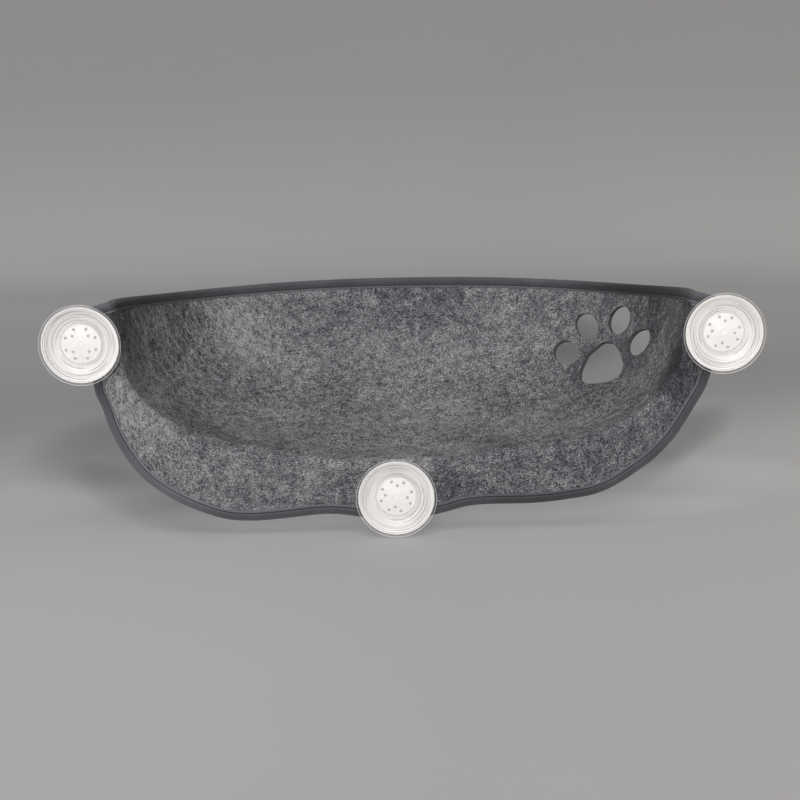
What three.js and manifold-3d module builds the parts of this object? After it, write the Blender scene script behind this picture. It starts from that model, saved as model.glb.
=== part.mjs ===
// Cat window bed: a moulded felt half bowl that three twist-lock suction cups hold on a window pane.
// Millimetres, +Z up. The pane is the plane y = 0 and the room lies towards +Y. The origin is on the
// pane, midway between the two upper cups.

import * as THREE from "three";
import { mergeVertices } from "three/addons/utils/BufferGeometryUtils.js";
import Module from "manifold-3d";

const wasm = await Module();
wasm.setup();

// Clearances and tolerances.
const gap = 0.3;
const overrun = 6;
const mergeDistance = 0.001;

// Half width of the bowl's inner face at the fold, depth of the bowl behind the fold, height of its
// corners over the upper cups and drop of its floor under the corners.
const bowlHalfWidth = 263;
const bowlDepth = 220;
const cornerHeight = 36;
const bowlDrop = 148;
const floorDrop = bowlDrop - cornerHeight;

// Where the cups sit on the flange round the bowl, and how each is turned, in degrees clockwise
// from the pane.
const cupOutset = 29;
const cupHalfSpacing = bowlHalfWidth + cupOutset;
const lowerCupBelow = 38;
const lowerCupDrop = floorDrop + lowerCupBelow;
const lowerCupShift = 8;
const leftTurnDegrees = 22.5;
const rightTurnDegrees = -16;
const lowerTurnDegrees = -16;

// Clear suction pad, seen from the pane as a shallow dome with a flat rim.
const padRadius = 37.5;
const padRimWidth = 4.5;
const padSkin = 1.8;
const padDomeHeight = 6;
const padCollarWidth = 1;
const padDomePower = 2;

// Disc moulded into the pad, with the stud that carries it.
const discRadius = 18.4;
const discThickness = 2;
const discHoleRadius = 1.35;
const outerHoleCircle = 14.6;
const innerHoleCircle = 10.3;
const outerHoleCount = 8;
const innerHoleCount = 4;
const studRadius = 6;
const studDraw = 3;
const keyWidth = 2;
const keyDepth = 1;

// White dish that stands on the rim of the pad and backs against the felt.
const dishInset = 2.9;
const dishRadius = padRadius - dishInset;
const dishWall = 1.5;
const dishFloor = 1.8;
const seatRadius = 12.5;
const seatHeight = 1.6;
const neckRadius = 8;
const dishShares = [
  [1, 0],
  [1, 0.17],
  [0.954, 0.465],
  [0.824, 0.78],
  [0.607, 1],
];

// Room side of the cup.
const washerRadius = 12.5;
const washerThickness = 2.5;
const knobRadius = 21;
const knobHeight = 14;
const knobLobeDepth = 1.6;
const knobLobes = 6;
const knobEdge = 1.2;
const knobTop = 2;

// Felt shell.
const feltThickness = 4.5;
const rimFall = 23.5;
const foldPower = 3;
const rimPower = 2.3;
const sectionPower = 2.4;
const rimFallPower = 1.2;

// Front outline of the flange. The share tables run from an ear down to the tab, as shares of the
// half spacing of the cups and of the drop of the lobe on that side.
const earRadius = 27;
const earArcBelow = 82;
const leftLobeBelow = 61;
const leftLobeDrop = floorDrop + leftLobeBelow;
const rightLobeBelow = 50;
const rightLobeDrop = floorDrop + rightLobeBelow;
const tabReach = 23;
const tabHalfWidth = 24;
const leftOutlineShares = [
  [0.972, 0.195],
  [0.966, 0.28],
  [0.946, 0.36],
  [0.922, 0.495],
  [0.871, 0.662],
  [0.811, 0.782],
  [0.718, 0.891],
  [0.592, 0.98],
  [0.497, 1],
  [0.401, 0.992],
  [0.241, 0.969],
];
const rightOutlineShares = [
  [0.972, 0.21],
  [0.953, 0.318],
  [0.923, 0.416],
  [0.861, 0.602],
  [0.799, 0.73],
  [0.736, 0.817],
  [0.673, 0.893],
  [0.609, 0.944],
  [0.546, 0.966],
  [0.418, 0.992],
  [0.226, 0.997],
  [0.13, 1.036],
];

// Binding tape over the whole edge.
const tapeThickness = 0.8;
const tapeWidth = 9;

// Paw cut-out through the wall. The middle of the paw is given as shares of the way across and
// under the bowl. The other places lie on the felt, to the right and up from there, and they and
// the half axes of the toes are shares of the paw's size. A toe leans to the right by its degrees.
const pawSize = 100;
const pawAcrossShare = 0.742;
const pawUnderShare = 0.535;
const pawToeShares = [
  { right: -0.367, up: 0.041, halfWidth: 0.117, halfHeight: 0.132, leanDegrees: 21 },
  { right: -0.114, up: 0.288, halfWidth: 0.114, halfHeight: 0.141, leanDegrees: -7 },
  { right: 0.248, up: 0.305, halfWidth: 0.122, halfHeight: 0.177, leanDegrees: 29 },
  { right: 0.444, up: -0.04, halfWidth: 0.146, halfHeight: 0.186, leanDegrees: 56 },
];
const pawHeelShares = [
  [-0.019, 0.08],
  [0.068, 0.074],
  [0.14, 0.012],
  [0.173, -0.118],
  [0.17, -0.26],
  [0.097, -0.363],
  [-0.024, -0.397],
  [-0.15, -0.375],
  [-0.26, -0.342],
  [-0.312, -0.268],
  [-0.268, -0.141],
  [-0.15, 0.01],
];

// How finely the round shapes are divided.
const lathePieces = 24;
const holePieces = 6;
const padRings = 4;
const acrossPieces = 44;
const underPieces = 10;
const splinePieces = 3;
const arcPieces = 9;
const lobePieces = 5;
const ovalPieces = 14;
const heelPieces = 24;

// Depths behind the pane, each worked out from the one before it.
const discFront = padDomeHeight + padSkin + gap;
const discBack = discFront + discThickness;
const dishRimFront = padSkin + gap;
const dishFloorFront = discBack + studDraw + gap;
const dishFloorBack = dishFloorFront + dishFloor;
const seatBack = dishFloorBack + seatHeight;
const flangeFront = seatBack + gap;
const flangeBack = flangeFront + feltThickness;
const washerFront = flangeBack + gap;
const washerBack = washerFront + washerThickness;
const knobFront = washerBack + gap;
const knobBack = knobFront + knobHeight;
const knobBoreEnd = knobBack - knobTop;
const studEnd = knobBoreEnd - studDraw - gap;

// Colours of the materials.
const clearVinyl = { color: 0xe6e9ea, roughness: 0.12, metalness: 0 };
const whitePlastic = { color: 0xf0efec, roughness: 0.38, metalness: 0 };
const greyFelt = { color: 0x636266, roughness: 0.97, metalness: 0 };
const darkTape = { color: 0x3f4045, roughness: 0.85, metalness: 0 };

// Booleans and basic solids.

function solidOf(geometry) {
  const bare = geometry.clone();
  bare.deleteAttribute("normal");
  bare.deleteAttribute("uv");
  const merged = mergeVertices(bare, mergeDistance);
  const corners = merged.index.array;
  const kept = [];
  for (let i = 0; i < corners.length; i += 3) {
    const [a, b, c] = corners.slice(i, i + 3);
    if (a !== b && b !== c && c !== a) kept.push(a, b, c);
  }
  return new wasm.Manifold(
    new wasm.Mesh({
      numProp: 3,
      vertProperties: merged.attributes.position.array,
      triVerts: new Uint32Array(kept),
    }),
  );
}

function meshOf(name, solid, finish) {
  const body = solid.getMesh();
  const geometry = new THREE.BufferGeometry();
  geometry.setAttribute("position", new THREE.BufferAttribute(body.vertProperties, 3));
  geometry.setIndex(new THREE.BufferAttribute(body.triVerts, 1));
  geometry.computeVertexNormals();
  const mesh = new THREE.Mesh(geometry, new THREE.MeshStandardMaterial(finish));
  mesh.name = name;
  return mesh;
}

// A body of revolution about the cup's axis, from points given as [radius, depth behind the pane].
function turned(profile) {
  const points = profile.map(([radius, depth]) => new THREE.Vector2(radius, depth));
  return solidOf(new THREE.LatheGeometry(points, lathePieces));
}

// A shape drawn in X and Z, made solid between two depths behind the pane.
function plateBetween(shape, front, back) {
  const geometry = new THREE.ExtrudeGeometry(shape, { depth: back - front, bevelEnabled: false });
  const right = new THREE.Vector3(1, 0, 0);
  const up = new THREE.Vector3(0, 0, 1);
  const towardsPane = new THREE.Vector3(0, -1, 0);
  geometry.applyMatrix4(new THREE.Matrix4().makeBasis(right, up, towardsPane));
  geometry.translate(0, back, 0);
  return solidOf(geometry);
}

function boxBetween(low, high) {
  const size = high.clone().sub(low);
  const middle = low.clone().add(high).multiplyScalar(0.5);
  const geometry = new THREE.BoxGeometry(size.x, size.y, size.z);
  geometry.translate(middle.x, middle.y, middle.z);
  return solidOf(geometry);
}

// A closed skin over rings of equally many points, with a fan over each end.
function lofted(rings) {
  const count = rings[0].length;
  const positions = rings.flat().flatMap((point) => point.toArray());
  const triangles = [];
  for (let ring = 0; ring + 1 < rings.length; ring++) {
    for (let i = 0; i < count; i++) {
      const a = ring * count + i;
      const b = ring * count + ((i + 1) % count);
      triangles.push(a, b, b + count, a, b + count, a + count);
    }
  }
  const last = (rings.length - 1) * count;
  for (let i = 1; i + 1 < count; i++) {
    triangles.push(0, i + 1, i, last, last + i, last + i + 1);
  }
  return new wasm.Manifold(
    new wasm.Mesh({
      numProp: 3,
      vertProperties: new Float32Array(positions),
      triVerts: new Uint32Array(triangles),
    }),
  );
}

// Suction cup.

function padBody() {
  const rimInner = padRadius - padRimWidth;
  const dome = [];
  for (let i = 0; i <= padRings; i++) {
    const share = i / padRings;
    const radius = THREE.MathUtils.lerp(discRadius, rimInner, share);
    dome.push([radius, padDomeHeight * (1 - share ** padDomePower)]);
  }
  const back = dome.map(([radius, depth]) => [radius, depth + padSkin]).reverse();
  const collarInner = discRadius + gap;
  const collarOuter = collarInner + padCollarWidth;
  const collarBack = discFront + discThickness - gap;
  back.pop();
  return turned([
    [0, padDomeHeight],
    ...dome,
    [padRadius, 0],
    [padRadius, padSkin],
    ...back,
    [collarOuter, padDomeHeight + padSkin],
    [collarOuter, collarBack],
    [collarInner, collarBack],
    [collarInner, padDomeHeight + padSkin],
    [0, padDomeHeight + padSkin],
  ]);
}

function discHoles() {
  const holes = [];
  const circles = [
    [outerHoleCircle, outerHoleCount, 0],
    [innerHoleCircle, innerHoleCount, Math.PI / outerHoleCount],
  ];
  for (const [circle, count, start] of circles) {
    for (let i = 0; i < count; i++) {
      const angle = start + (i * 2 * Math.PI) / count;
      const length = discThickness + 2 * overrun;
      const hole = new THREE.CylinderGeometry(discHoleRadius, discHoleRadius, length, holePieces);
      hole.translate(circle * Math.sin(angle), discFront, circle * Math.cos(angle));
      holes.push(solidOf(hole));
    }
  }
  return holes;
}

// Two straight keys beside the stud. The slack widens and deepens them into the slots they run in.
function keysBetween(front, back, outerRadius, slack) {
  const inner = studRadius - keyDepth - slack;
  const half = keyWidth / 2 + slack;
  return [1, -1].map((side) =>
    boxBetween(
      new THREE.Vector3(Math.min(side * inner, side * outerRadius), front, -half),
      new THREE.Vector3(Math.max(side * inner, side * outerRadius), back, half),
    ),
  );
}

function studBody() {
  let body = turned([
    [0, discFront],
    [discRadius, discFront],
    [discRadius, discBack],
    [studRadius, discBack],
    [studRadius, studEnd],
    [0, studEnd],
  ]);
  for (const hole of discHoles()) body = body.subtract(hole);
  const slots = keysBetween(discBack + dishFloor, studEnd + overrun, studRadius + overrun, gap);
  for (const slot of slots) body = body.subtract(slot);
  return body;
}

function housingBody() {
  const outerHeight = dishFloorBack - dishRimFront;
  const innerHeight = dishFloorFront - dishRimFront;
  const outer = dishShares.map(([r, h]) => [r * dishRadius, dishRimFront + h * outerHeight]);
  const inner = dishShares.map(([r, h]) => [
    r * (dishRadius - dishWall),
    dishRimFront + h * innerHeight,
  ]);
  const bore = studRadius + gap;
  const body = turned([
    ...outer,
    [seatRadius, dishFloorBack],
    [seatRadius, seatBack],
    [neckRadius, seatBack],
    [neckRadius, washerBack],
    [bore, washerBack],
    [bore, dishFloorFront],
    ...inner.reverse(),
    outer[0],
  ]);
  const [first, second] = keysBetween(dishFloorBack, washerBack, (bore + neckRadius) / 2, 0);
  return body.add(first).add(second);
}

function washerBody() {
  const bore = neckRadius + gap;
  return turned([
    [bore, washerFront],
    [washerRadius, washerFront],
    [washerRadius, washerBack],
    [bore, washerBack],
    [bore, washerFront],
  ]);
}

function knobBody() {
  const outline = [];
  const steps = knobLobes * lobePieces;
  for (let i = 0; i < steps; i++) {
    const angle = (i / steps) * 2 * Math.PI;
    const dip = (knobLobeDepth * (1 - Math.cos(knobLobes * angle))) / 2;
    const radius = knobRadius - knobEdge - dip;
    outline.push(new THREE.Vector2(radius * Math.cos(angle), radius * Math.sin(angle)));
  }
  const geometry = new THREE.ExtrudeGeometry(new THREE.Shape(outline), {
    depth: knobHeight - 2 * knobEdge,
    bevelThickness: knobEdge,
    bevelSize: knobEdge,
    bevelSegments: 1,
  });
  geometry.rotateX(-Math.PI / 2);
  geometry.translate(0, knobFront + knobEdge, 0);
  const bore = turned([
    [0, knobFront - overrun],
    [studRadius + gap, knobFront - overrun],
    [studRadius + gap, knobBoreEnd],
    [0, knobBoreEnd],
  ]);
  return solidOf(geometry).subtract(bore);
}

// One cup, turned about its own axis.
function suctionCup(prefix, x, z, turnDegrees) {
  const cup = new THREE.Group();
  cup.add(meshOf(prefix + "_sucker", padBody(), clearVinyl));
  cup.add(meshOf(prefix + "_stud", studBody(), whitePlastic));
  cup.add(meshOf(prefix + "_housing", housingBody(), whitePlastic));
  cup.add(meshOf(prefix + "_washer", washerBody(), whitePlastic));
  cup.add(meshOf(prefix + "_knob", knobBody(), whitePlastic));
  cup.position.set(x, 0, z);
  cup.rotation.y = THREE.MathUtils.degToRad(turnDegrees);
  return cup;
}

// Felt shell and its binding.

// A point on the bowl. Across runs from the left corner (0) to the right one (1), under from the
// fold (0) to the level of the corners (1), and out is the distance behind the inner face.
function bowlPoint(across, under, out) {
  const along = across * Math.PI;
  const round = (under * Math.PI) / 2;
  const power = THREE.MathUtils.lerp(foldPower, rimPower, Math.sin(round) ** 2);
  const sideways = Math.cos(along);
  const reach = Math.abs(Math.sin(along)) ** (2 / power);
  return new THREE.Vector3(
    -(bowlHalfWidth + out) * Math.sign(sideways) * Math.abs(sideways) ** (2 / power),
    flangeFront + (bowlDepth + out) * reach * Math.abs(Math.sin(round)) ** (2 / sectionPower),
    cornerHeight - (bowlDrop + out) * reach * Math.abs(Math.cos(round)) ** (2 / sectionPower),
  );
}

// The space inside the bowl's wall, reaching from the given front up past the rim.
function bowlSpace(out, front) {
  const top = cornerHeight + overrun;
  const rings = [];
  for (let i = 0; i <= acrossPieces; i++) {
    const wall = [];
    for (let j = 0; j <= underPieces; j++) {
      wall.push(bowlPoint(i / acrossPieces, j / underPieces, out));
    }
    const low = wall[0];
    const high = wall[underPieces];
    rings.push([
      new THREE.Vector3(low.x, front, top),
      new THREE.Vector3(low.x, front, low.z),
      ...wall,
      new THREE.Vector3(high.x, high.y, top),
    ]);
  }
  return lofted(rings);
}

// Height of the rim at a share of the bowl's depth.
function rimHeight(share) {
  return cornerHeight - rimFall * Math.sin((share * Math.PI) / 2) ** rimFallPower;
}

// All the space above the rim, raised by the given distance, from a front plane to behind the bowl.
function spaceOverRim(raised, front) {
  const shape = new THREE.Shape();
  const top = cornerHeight + raised + 2 * overrun;
  shape.moveTo(front, top);
  shape.lineTo(front, cornerHeight + raised);
  for (let i = 0; i <= underPieces; i++) {
    const share = i / underPieces;
    shape.lineTo(flangeFront + share * bowlDepth, rimHeight(share) + raised);
  }
  const back = flangeBack + bowlDepth + overrun;
  shape.lineTo(back, rimHeight(1) + raised);
  shape.lineTo(back, top);
  const half = bowlHalfWidth + feltThickness + overrun;
  const geometry = new THREE.ExtrudeGeometry(shape, { depth: 2 * half, bevelEnabled: false });
  const inward = new THREE.Vector3(0, 1, 0);
  const up = new THREE.Vector3(0, 0, 1);
  const right = new THREE.Vector3(1, 0, 0);
  geometry.applyMatrix4(new THREE.Matrix4().makeBasis(inward, up, right));
  geometry.translate(-half, 0, 0);
  return solidOf(geometry);
}

// The edge of one half of the flange, from the corner round the ear and down to the tab.
function halfOutline(side, lobeDrop, shares) {
  const corner = new THREE.Vector2(bowlHalfWidth, cornerHeight);
  const ear = new THREE.Vector2(cupHalfSpacing, 0);
  const toCorner = corner.clone().sub(ear);
  const start = toCorner.angle() - Math.acos(earRadius / toCorner.length());
  const end = -THREE.MathUtils.degToRad(earArcBelow);
  const points = [corner];
  for (let i = 0; i <= arcPieces; i++) {
    const angle = THREE.MathUtils.lerp(start, end, i / arcPieces);
    points.push(
      new THREE.Vector2(
        ear.x + earRadius * Math.cos(angle),
        ear.y + earRadius * Math.sin(angle),
      ),
    );
  }
  const places = shares.map(([x, z]) => new THREE.Vector2(x * cupHalfSpacing, -z * lobeDrop));
  const tabX = tabHalfWidth - side * lowerCupShift;
  places.push(new THREE.Vector2(tabX, -lowerCupDrop - tabReach));
  const curve = new THREE.SplineCurve([points[points.length - 1], ...places]);
  points.push(...curve.getPoints(places.length * splinePieces).slice(1));
  return points.map((point) => new THREE.Vector2(side * point.x, point.y));
}

function flangeOutline() {
  const left = halfOutline(-1, leftLobeDrop, leftOutlineShares);
  const right = halfOutline(1, rightLobeDrop, rightOutlineShares);
  return [...left, ...right.reverse()];
}

// The same outline with each point moved outwards, square to the edge.
function movedOutline(points, distance) {
  return points.map((point, i) => {
    const before = points[(i + points.length - 1) % points.length];
    const after = points[(i + 1) % points.length];
    const into = point.clone().sub(before).normalize();
    const away = after.clone().sub(point).normalize();
    const normal = new THREE.Vector2(into.y + away.y, -into.x - away.x).normalize();
    const square = normal.x * into.y - normal.y * into.x;
    return point.clone().addScaledVector(normal, distance / square);
  });
}

// The felt with every face moved outwards by the given distance, without its holes.
function feltBody(grown) {
  const outline = new THREE.Shape(movedOutline(flangeOutline(), grown));
  const flange = plateBetween(outline, flangeFront - grown, flangeBack + grown);
  const wall = bowlSpace(feltThickness + grown, flangeFront)
    .subtract(spaceOverRim(grown, flangeFront - overrun));
  return flange.add(wall).subtract(bowlSpace(-grown, flangeFront - overrun));
}

function studHoles() {
  const places = [
    [-cupHalfSpacing, 0],
    [cupHalfSpacing, 0],
    [-lowerCupShift, -lowerCupDrop],
  ];
  return places.map(([x, z]) => {
    const length = feltThickness + 2 * overrun;
    const hole = new THREE.CylinderGeometry(
      neckRadius + gap,
      neckRadius + gap,
      length,
      lathePieces,
    );
    hole.translate(x, (flangeFront + flangeBack) / 2, z);
    return solidOf(hole);
  });
}

// A plug through the wall with an outline that is drawn on the felt about the middle of the paw.
function pawPlug(outline) {
  const middle = bowlPoint(pawAcrossShare, pawUnderShare, 0);
  const step = 1 / acrossPieces;
  const beside = bowlPoint(pawAcrossShare + step, pawUnderShare, 0);
  const above = bowlPoint(pawAcrossShare, pawUnderShare + step, 0);
  const widthPerStep = beside.distanceTo(middle);
  const heightPerStep = above.distanceTo(middle);
  const rings = [feltThickness + overrun, -overrun].map((out) =>
    outline.map((point) => {
      const across = pawAcrossShare + (point.x / widthPerStep) * step;
      const under = pawUnderShare + (point.y / heightPerStep) * step;
      return bowlPoint(across, under, out);
    }),
  );
  return lofted(rings);
}

function toeOutline(toe) {
  const lean = THREE.MathUtils.degToRad(toe.leanDegrees);
  const halfWidth = toe.halfWidth * pawSize;
  const halfHeight = toe.halfHeight * pawSize;
  const oval = new THREE.EllipseCurve(0, 0, halfWidth, halfHeight, 0, 2 * Math.PI);
  const points = oval.getPoints(ovalPieces).slice(1);
  for (const point of points) {
    point.rotateAround(new THREE.Vector2(), -lean);
    point.add(new THREE.Vector2(toe.right * pawSize, toe.up * pawSize));
  }
  return points;
}

function heelOutline() {
  const places = [...pawHeelShares].reverse();
  const corners = places.map(([x, y]) => new THREE.Vector3(x * pawSize, y * pawSize, 0));
  return new THREE.CatmullRomCurve3(corners, true).getPoints(heelPieces).slice(1);
}

function feltShell() {
  let body = feltBody(0);
  for (const hole of studHoles()) body = body.subtract(hole);
  for (const toe of pawToeShares) body = body.subtract(pawPlug(toeOutline(toe)));
  body = body.subtract(pawPlug(heelOutline()));
  return meshOf("felt_shell", body, greyFelt);
}

// The tape is the skin round the felt that lies within the tape's width of the edge.
function edgeBinding() {
  const outer = new THREE.Shape(movedOutline(flangeOutline(), overrun));
  const inner = new THREE.Shape(movedOutline(flangeOutline(), -tapeWidth));
  const alongFlange = plateBetween(outer, flangeFront - overrun, flangeBack + overrun)
    .subtract(plateBetween(inner, flangeFront - 2 * overrun, flangeBack + 2 * overrun));
  const alongRim = spaceOverRim(-tapeWidth, flangeFront);
  const zone = alongFlange.add(alongRim);
  const body = feltBody(gap + tapeThickness).intersect(zone).subtract(feltBody(gap));
  return meshOf("edge_binding", body, darkTape);
}

const bed = new THREE.Group();
bed.add(feltShell());
bed.add(edgeBinding());
bed.add(suctionCup("left", -cupHalfSpacing, 0, leftTurnDegrees));
bed.add(suctionCup("right", cupHalfSpacing, 0, rightTurnDegrees));
bed.add(suctionCup("lower", -lowerCupShift, -lowerCupDrop, lowerTurnDegrees));

export default bed;
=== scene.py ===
"""Dresses the cat window bed: a moulded felt half bowl with a sewn tape edge and three suction cups.

Everything is in metres, in the frame of the CAD part: +Z up, +Y from the pane into the room.
"""

from __future__ import annotations

import logging
import math
from dataclasses import dataclass, field
from enum import Enum
from typing import Callable, Sequence

import bpy
import numpy as np
from mathutils import Matrix, Vector


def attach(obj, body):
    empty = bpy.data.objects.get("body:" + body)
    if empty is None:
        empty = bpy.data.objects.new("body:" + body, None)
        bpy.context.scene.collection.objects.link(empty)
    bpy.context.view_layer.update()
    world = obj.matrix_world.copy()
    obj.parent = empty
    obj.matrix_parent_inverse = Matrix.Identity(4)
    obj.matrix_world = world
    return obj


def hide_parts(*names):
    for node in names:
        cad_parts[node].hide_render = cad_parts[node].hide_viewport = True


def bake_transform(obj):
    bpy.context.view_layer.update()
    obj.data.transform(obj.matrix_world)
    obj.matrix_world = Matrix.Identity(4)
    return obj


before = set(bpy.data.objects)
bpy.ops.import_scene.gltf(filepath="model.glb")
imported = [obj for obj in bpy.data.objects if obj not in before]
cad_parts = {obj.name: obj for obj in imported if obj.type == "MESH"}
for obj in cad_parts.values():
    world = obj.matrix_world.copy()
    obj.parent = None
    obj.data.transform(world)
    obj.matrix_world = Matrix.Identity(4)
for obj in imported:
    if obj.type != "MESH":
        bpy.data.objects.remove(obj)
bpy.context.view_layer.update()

log = logging.getLogger("window_bed")

# Short names for types
Piece = bpy.types.Object
Socket = bpy.types.NodeSocket
Finish = bpy.types.Material
Pair = tuple[float, float]
Triple = tuple[float, float, float]
Values = tuple[float, ...]
Pairs = tuple[Pair, ...]
Rows = tuple[Values, ...]

# One millimetre, and the painted shade and light of the dishes as pairs of radius and change of level:
# darker round the disc, lighter towards the rim
MM = 0.001
DISH_PAINTED_SHADE = ((0, -4), (20.5, -6), (27.4, -1), (28.6, 6), (30.2, -2), (31.6, 9), (36, 9))


class Slot(Enum):
    """The record's material slots."""

    FELT = "grey_felt"
    TAPE = "dark_tape"
    VINYL = "clear_vinyl"
    PLASTIC = "white_plastic"


# Shader maths


def _operator(operation: str, flipped: bool = False) -> Callable[[Number, object], Number]:
    """Makes the method behind one of Python's operators.

    Args:
        operation: The Math node's operation.
        flipped: Whether the plain number stands first.

    Returns:
        The method.
    """

    def method(own: Number, other: object) -> Number:
        """Adds the Math node of this operator."""
        pair = (other, own) if flipped else (own, other)
        return own.math(operation, *pair)

    return method


class Number:
    """A number that comes out of a socket and can be used in sums."""

    def __init__(self, graph: Graph, socket: Socket) -> None:
        """Keeps the material's graph and the output that gives the number."""
        self.graph = graph
        self.socket = socket

    def math(self, operation: str, *inputs: object) -> Number:
        """Adds a Math node with these inputs."""
        return self.graph.number("ShaderNodeMath", 0, {"operation": operation}, dict(enumerate(inputs)))

    __add__, __radd__ = _operator("ADD"), _operator("ADD", flipped=True)
    __sub__, __rsub__ = _operator("SUBTRACT"), _operator("SUBTRACT", flipped=True)
    __mul__, __rmul__ = _operator("MULTIPLY"), _operator("MULTIPLY", flipped=True)
    __truediv__, __rtruediv__ = _operator("DIVIDE"), _operator("DIVIDE", flipped=True)
    __pow__ = _operator("POWER")

    def sine(self) -> Number:
        """The sine."""
        return self.math("SINE", self)

    def larger(self, other: object) -> Number:
        """The larger of two numbers."""
        return self.math("MAXIMUM", self, other)

    def between(self, low: float, high: float) -> Number:
        """Rises smoothly from 0 at low to 1 at high."""
        settings = {"interpolation_type": "SMOOTHSTEP"}
        sockets = {"Value": self, "From Min": low, "From Max": high}
        return self.graph.number("ShaderNodeMapRange", "Result", settings, sockets)


class Graph:
    """The node graph of one material."""

    def __init__(self, name: str) -> None:
        """Makes an empty material.

        Args:
            name: The material's name.
        """
        self.material = bpy.data.materials.new(name)
        self.material.use_nodes = True
        self.tree = self.material.node_tree
        self.tree.nodes.clear()

    def node(
        self, kind: str, settings: dict | None = None, sockets: dict | None = None
    ) -> bpy.types.Node:
        """Adds one node.

        Args:
            kind: The node's type.
            settings: Its settings, which are set first. "stops" holds a ramp's places and colours.
            sockets: Values or links of its inputs, by name or number.

        Returns:
            The node.
        """
        made = self.tree.nodes.new(kind)
        for key, value in (settings or {}).items():
            if key == "stops":
                self._set_stops(made.color_ramp, value)
            else:
                setattr(made, key, value)
        for key, value in (sockets or {}).items():
            if isinstance(value, Number):
                value = value.socket
            if isinstance(value, Socket):
                self.tree.links.new(value, made.inputs[key])
            else:
                made.inputs[key].default_value = value
        return made

    @staticmethod
    def _set_stops(ramp: bpy.types.ColorRamp, stops: Sequence[tuple]) -> None:
        """Gives a ramp its stops.

        Args:
            ramp: The ramp.
            stops: Pairs of place and colour.
        """
        while len(ramp.elements) < len(stops):
            ramp.elements.new(1.0)
        for element, (place, colour) in zip(ramp.elements, stops):
            element.position = place
            element.color = (*colour, 1.0)

    def number(
        self, kind: str, output: object, settings: dict | None = None, sockets: dict | None = None
    ) -> Number:
        """Adds a node and takes one of its outputs as a number."""
        return Number(self, self.node(kind, settings, sockets).outputs[output])

    def place(self) -> Socket:
        """The point's place on the object, which is its place in the scene at rest."""
        return self.node("ShaderNodeTexCoord").outputs["Object"]

    def flat(self) -> Socket:
        """The point's place on the piece's own UV map, in metres."""
        return self.node("ShaderNodeUVMap", {"uv_map": "UVMap"}).outputs["UV"]

    def parts(self, vector: Socket) -> list[Number]:
        """The three numbers of a vector."""
        outputs = self.node("ShaderNodeSeparateXYZ", None, {"Vector": vector}).outputs
        return [Number(self, output) for output in outputs]

    def ramp(self, stops: Sequence[tuple], at: object) -> Socket:
        """A colour from a ramp with these pairs of place and colour, read at a number."""
        return self.node("ShaderNodeValToRGB", {"stops": stops}, {"Fac": at}).outputs["Color"]

    def mix(self, first: object, second: object, share: object = 1.0, blend: str = "MIX") -> Socket:
        """A share of the second colour over the first."""
        settings = {"data_type": "RGBA", "blend_type": blend}
        return self.node("ShaderNodeMix", settings, {"Factor": share, 6: first, 7: second}).outputs[2]

    def shader_mix(self, first: object, second: object, share: object) -> Socket:
        """A share of the second shader with the rest of the first."""
        return self.node("ShaderNodeMixShader", None, {0: share, 1: first, 2: second}).outputs[0]

    def surface(self, sockets: dict) -> Socket:
        """A Principled shader with these values or links of its inputs."""
        return self.node("ShaderNodeBsdfPrincipled", None, sockets).outputs[0]

    def noise(self, at: Socket, size: float, detail: float = 2.0, rough: float = 0.5) -> Number:
        """Cloudy noise, about 0.5 on average, with grains of a size in metres."""
        sockets = {"Vector": at, "Scale": 1 / size, "Detail": detail, "Roughness": rough}
        return self.number("ShaderNodeTexNoise", 0, None, sockets)

    def stretched(self, at: Socket, turn: float, length: float, width: float) -> Number:
        """Noise drawn out into strands.

        Args:
            at: The coordinates it is read at.
            turn: Direction of the strands, in degrees.
            length: Length of a strand, in metres.
            width: Its width.

        Returns:
            The noise, about 0.5 on average.
        """
        sockets = {"Vector": at, "Rotation": (0, 0, math.radians(turn)), "Scale": (length, width, width)}
        along = self.node("ShaderNodeMapping", {"vector_type": "TEXTURE"}, sockets).outputs[0]
        return self.noise(along, 1.0, 1.0)

    def bump(self, height: Number, depth: float, strength: float = 1.0) -> Socket:
        """A normal bumped by a height from 0 to 1, where 1 stands for a depth in metres."""
        sockets = {"Height": height, "Distance": depth, "Strength": strength}
        return self.node("ShaderNodeBump", None, sockets).outputs[0]

    def finish(self, surface: dict | Socket) -> Finish:
        """Joins the surface to the material's output.

        Args:
            surface: A shader, or the inputs of a Principled one.

        Returns:
            The material.
        """
        if isinstance(surface, dict):
            surface = self.surface(surface)
        self.node("ShaderNodeOutputMaterial", None, {"Surface": surface})
        return self.material


def grey(level: float, warm: float = 0.0, rosy: float = 0.0) -> Triple:
    """A colour from its brightness on screen.

    Args:
        level: Brightness from 0 to 255, as a picture file has it.
        warm: How much redder than blue it is, in the same steps.
        rosy: How much weaker its green is.

    Returns:
        The colour in linear light.
    """
    parts = (level + warm / 2, level - rosy, level - warm / 2)
    return tuple(_linear(part / 255) for part in parts)


def _linear(share: float) -> float:
    """A screen value in linear light."""
    return share / 12.92 if share <= 0.04045 else ((share + 0.055) / 1.055) ** 2.4


@dataclass(frozen=True)
class PaintedLightPatch:
    """A soft patch of painted light where its gain is above 0 and painted shade where it is below, full
    up to a share of its reach. Millimetres.
    """

    place: Triple
    reach: float
    gain: float
    full_share: float = 0.15


def painted_light_and_shade(graph: Graph, patches: Sequence[PaintedLightPatch]) -> Number:
    """Adds up patches of painted light and shade.

    Args:
        graph: The material's graph.
        patches: The patches.

    Returns:
        How much lighter the cloth is.
    """
    place = graph.place()
    settings = {"operation": "DISTANCE"}
    total = 0.0
    # Each patch paints light or shade into the cloth's tone.
    for patch in patches:
        centre = tuple(part * MM for part in patch.place)
        away = graph.number("ShaderNodeVectorMath", "Value", settings, {0: place, 1: centre})
        reach = patch.reach * MM
        total = total + patch.gain * (1 - away.between(patch.full_share * reach, reach))
    return total


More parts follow.
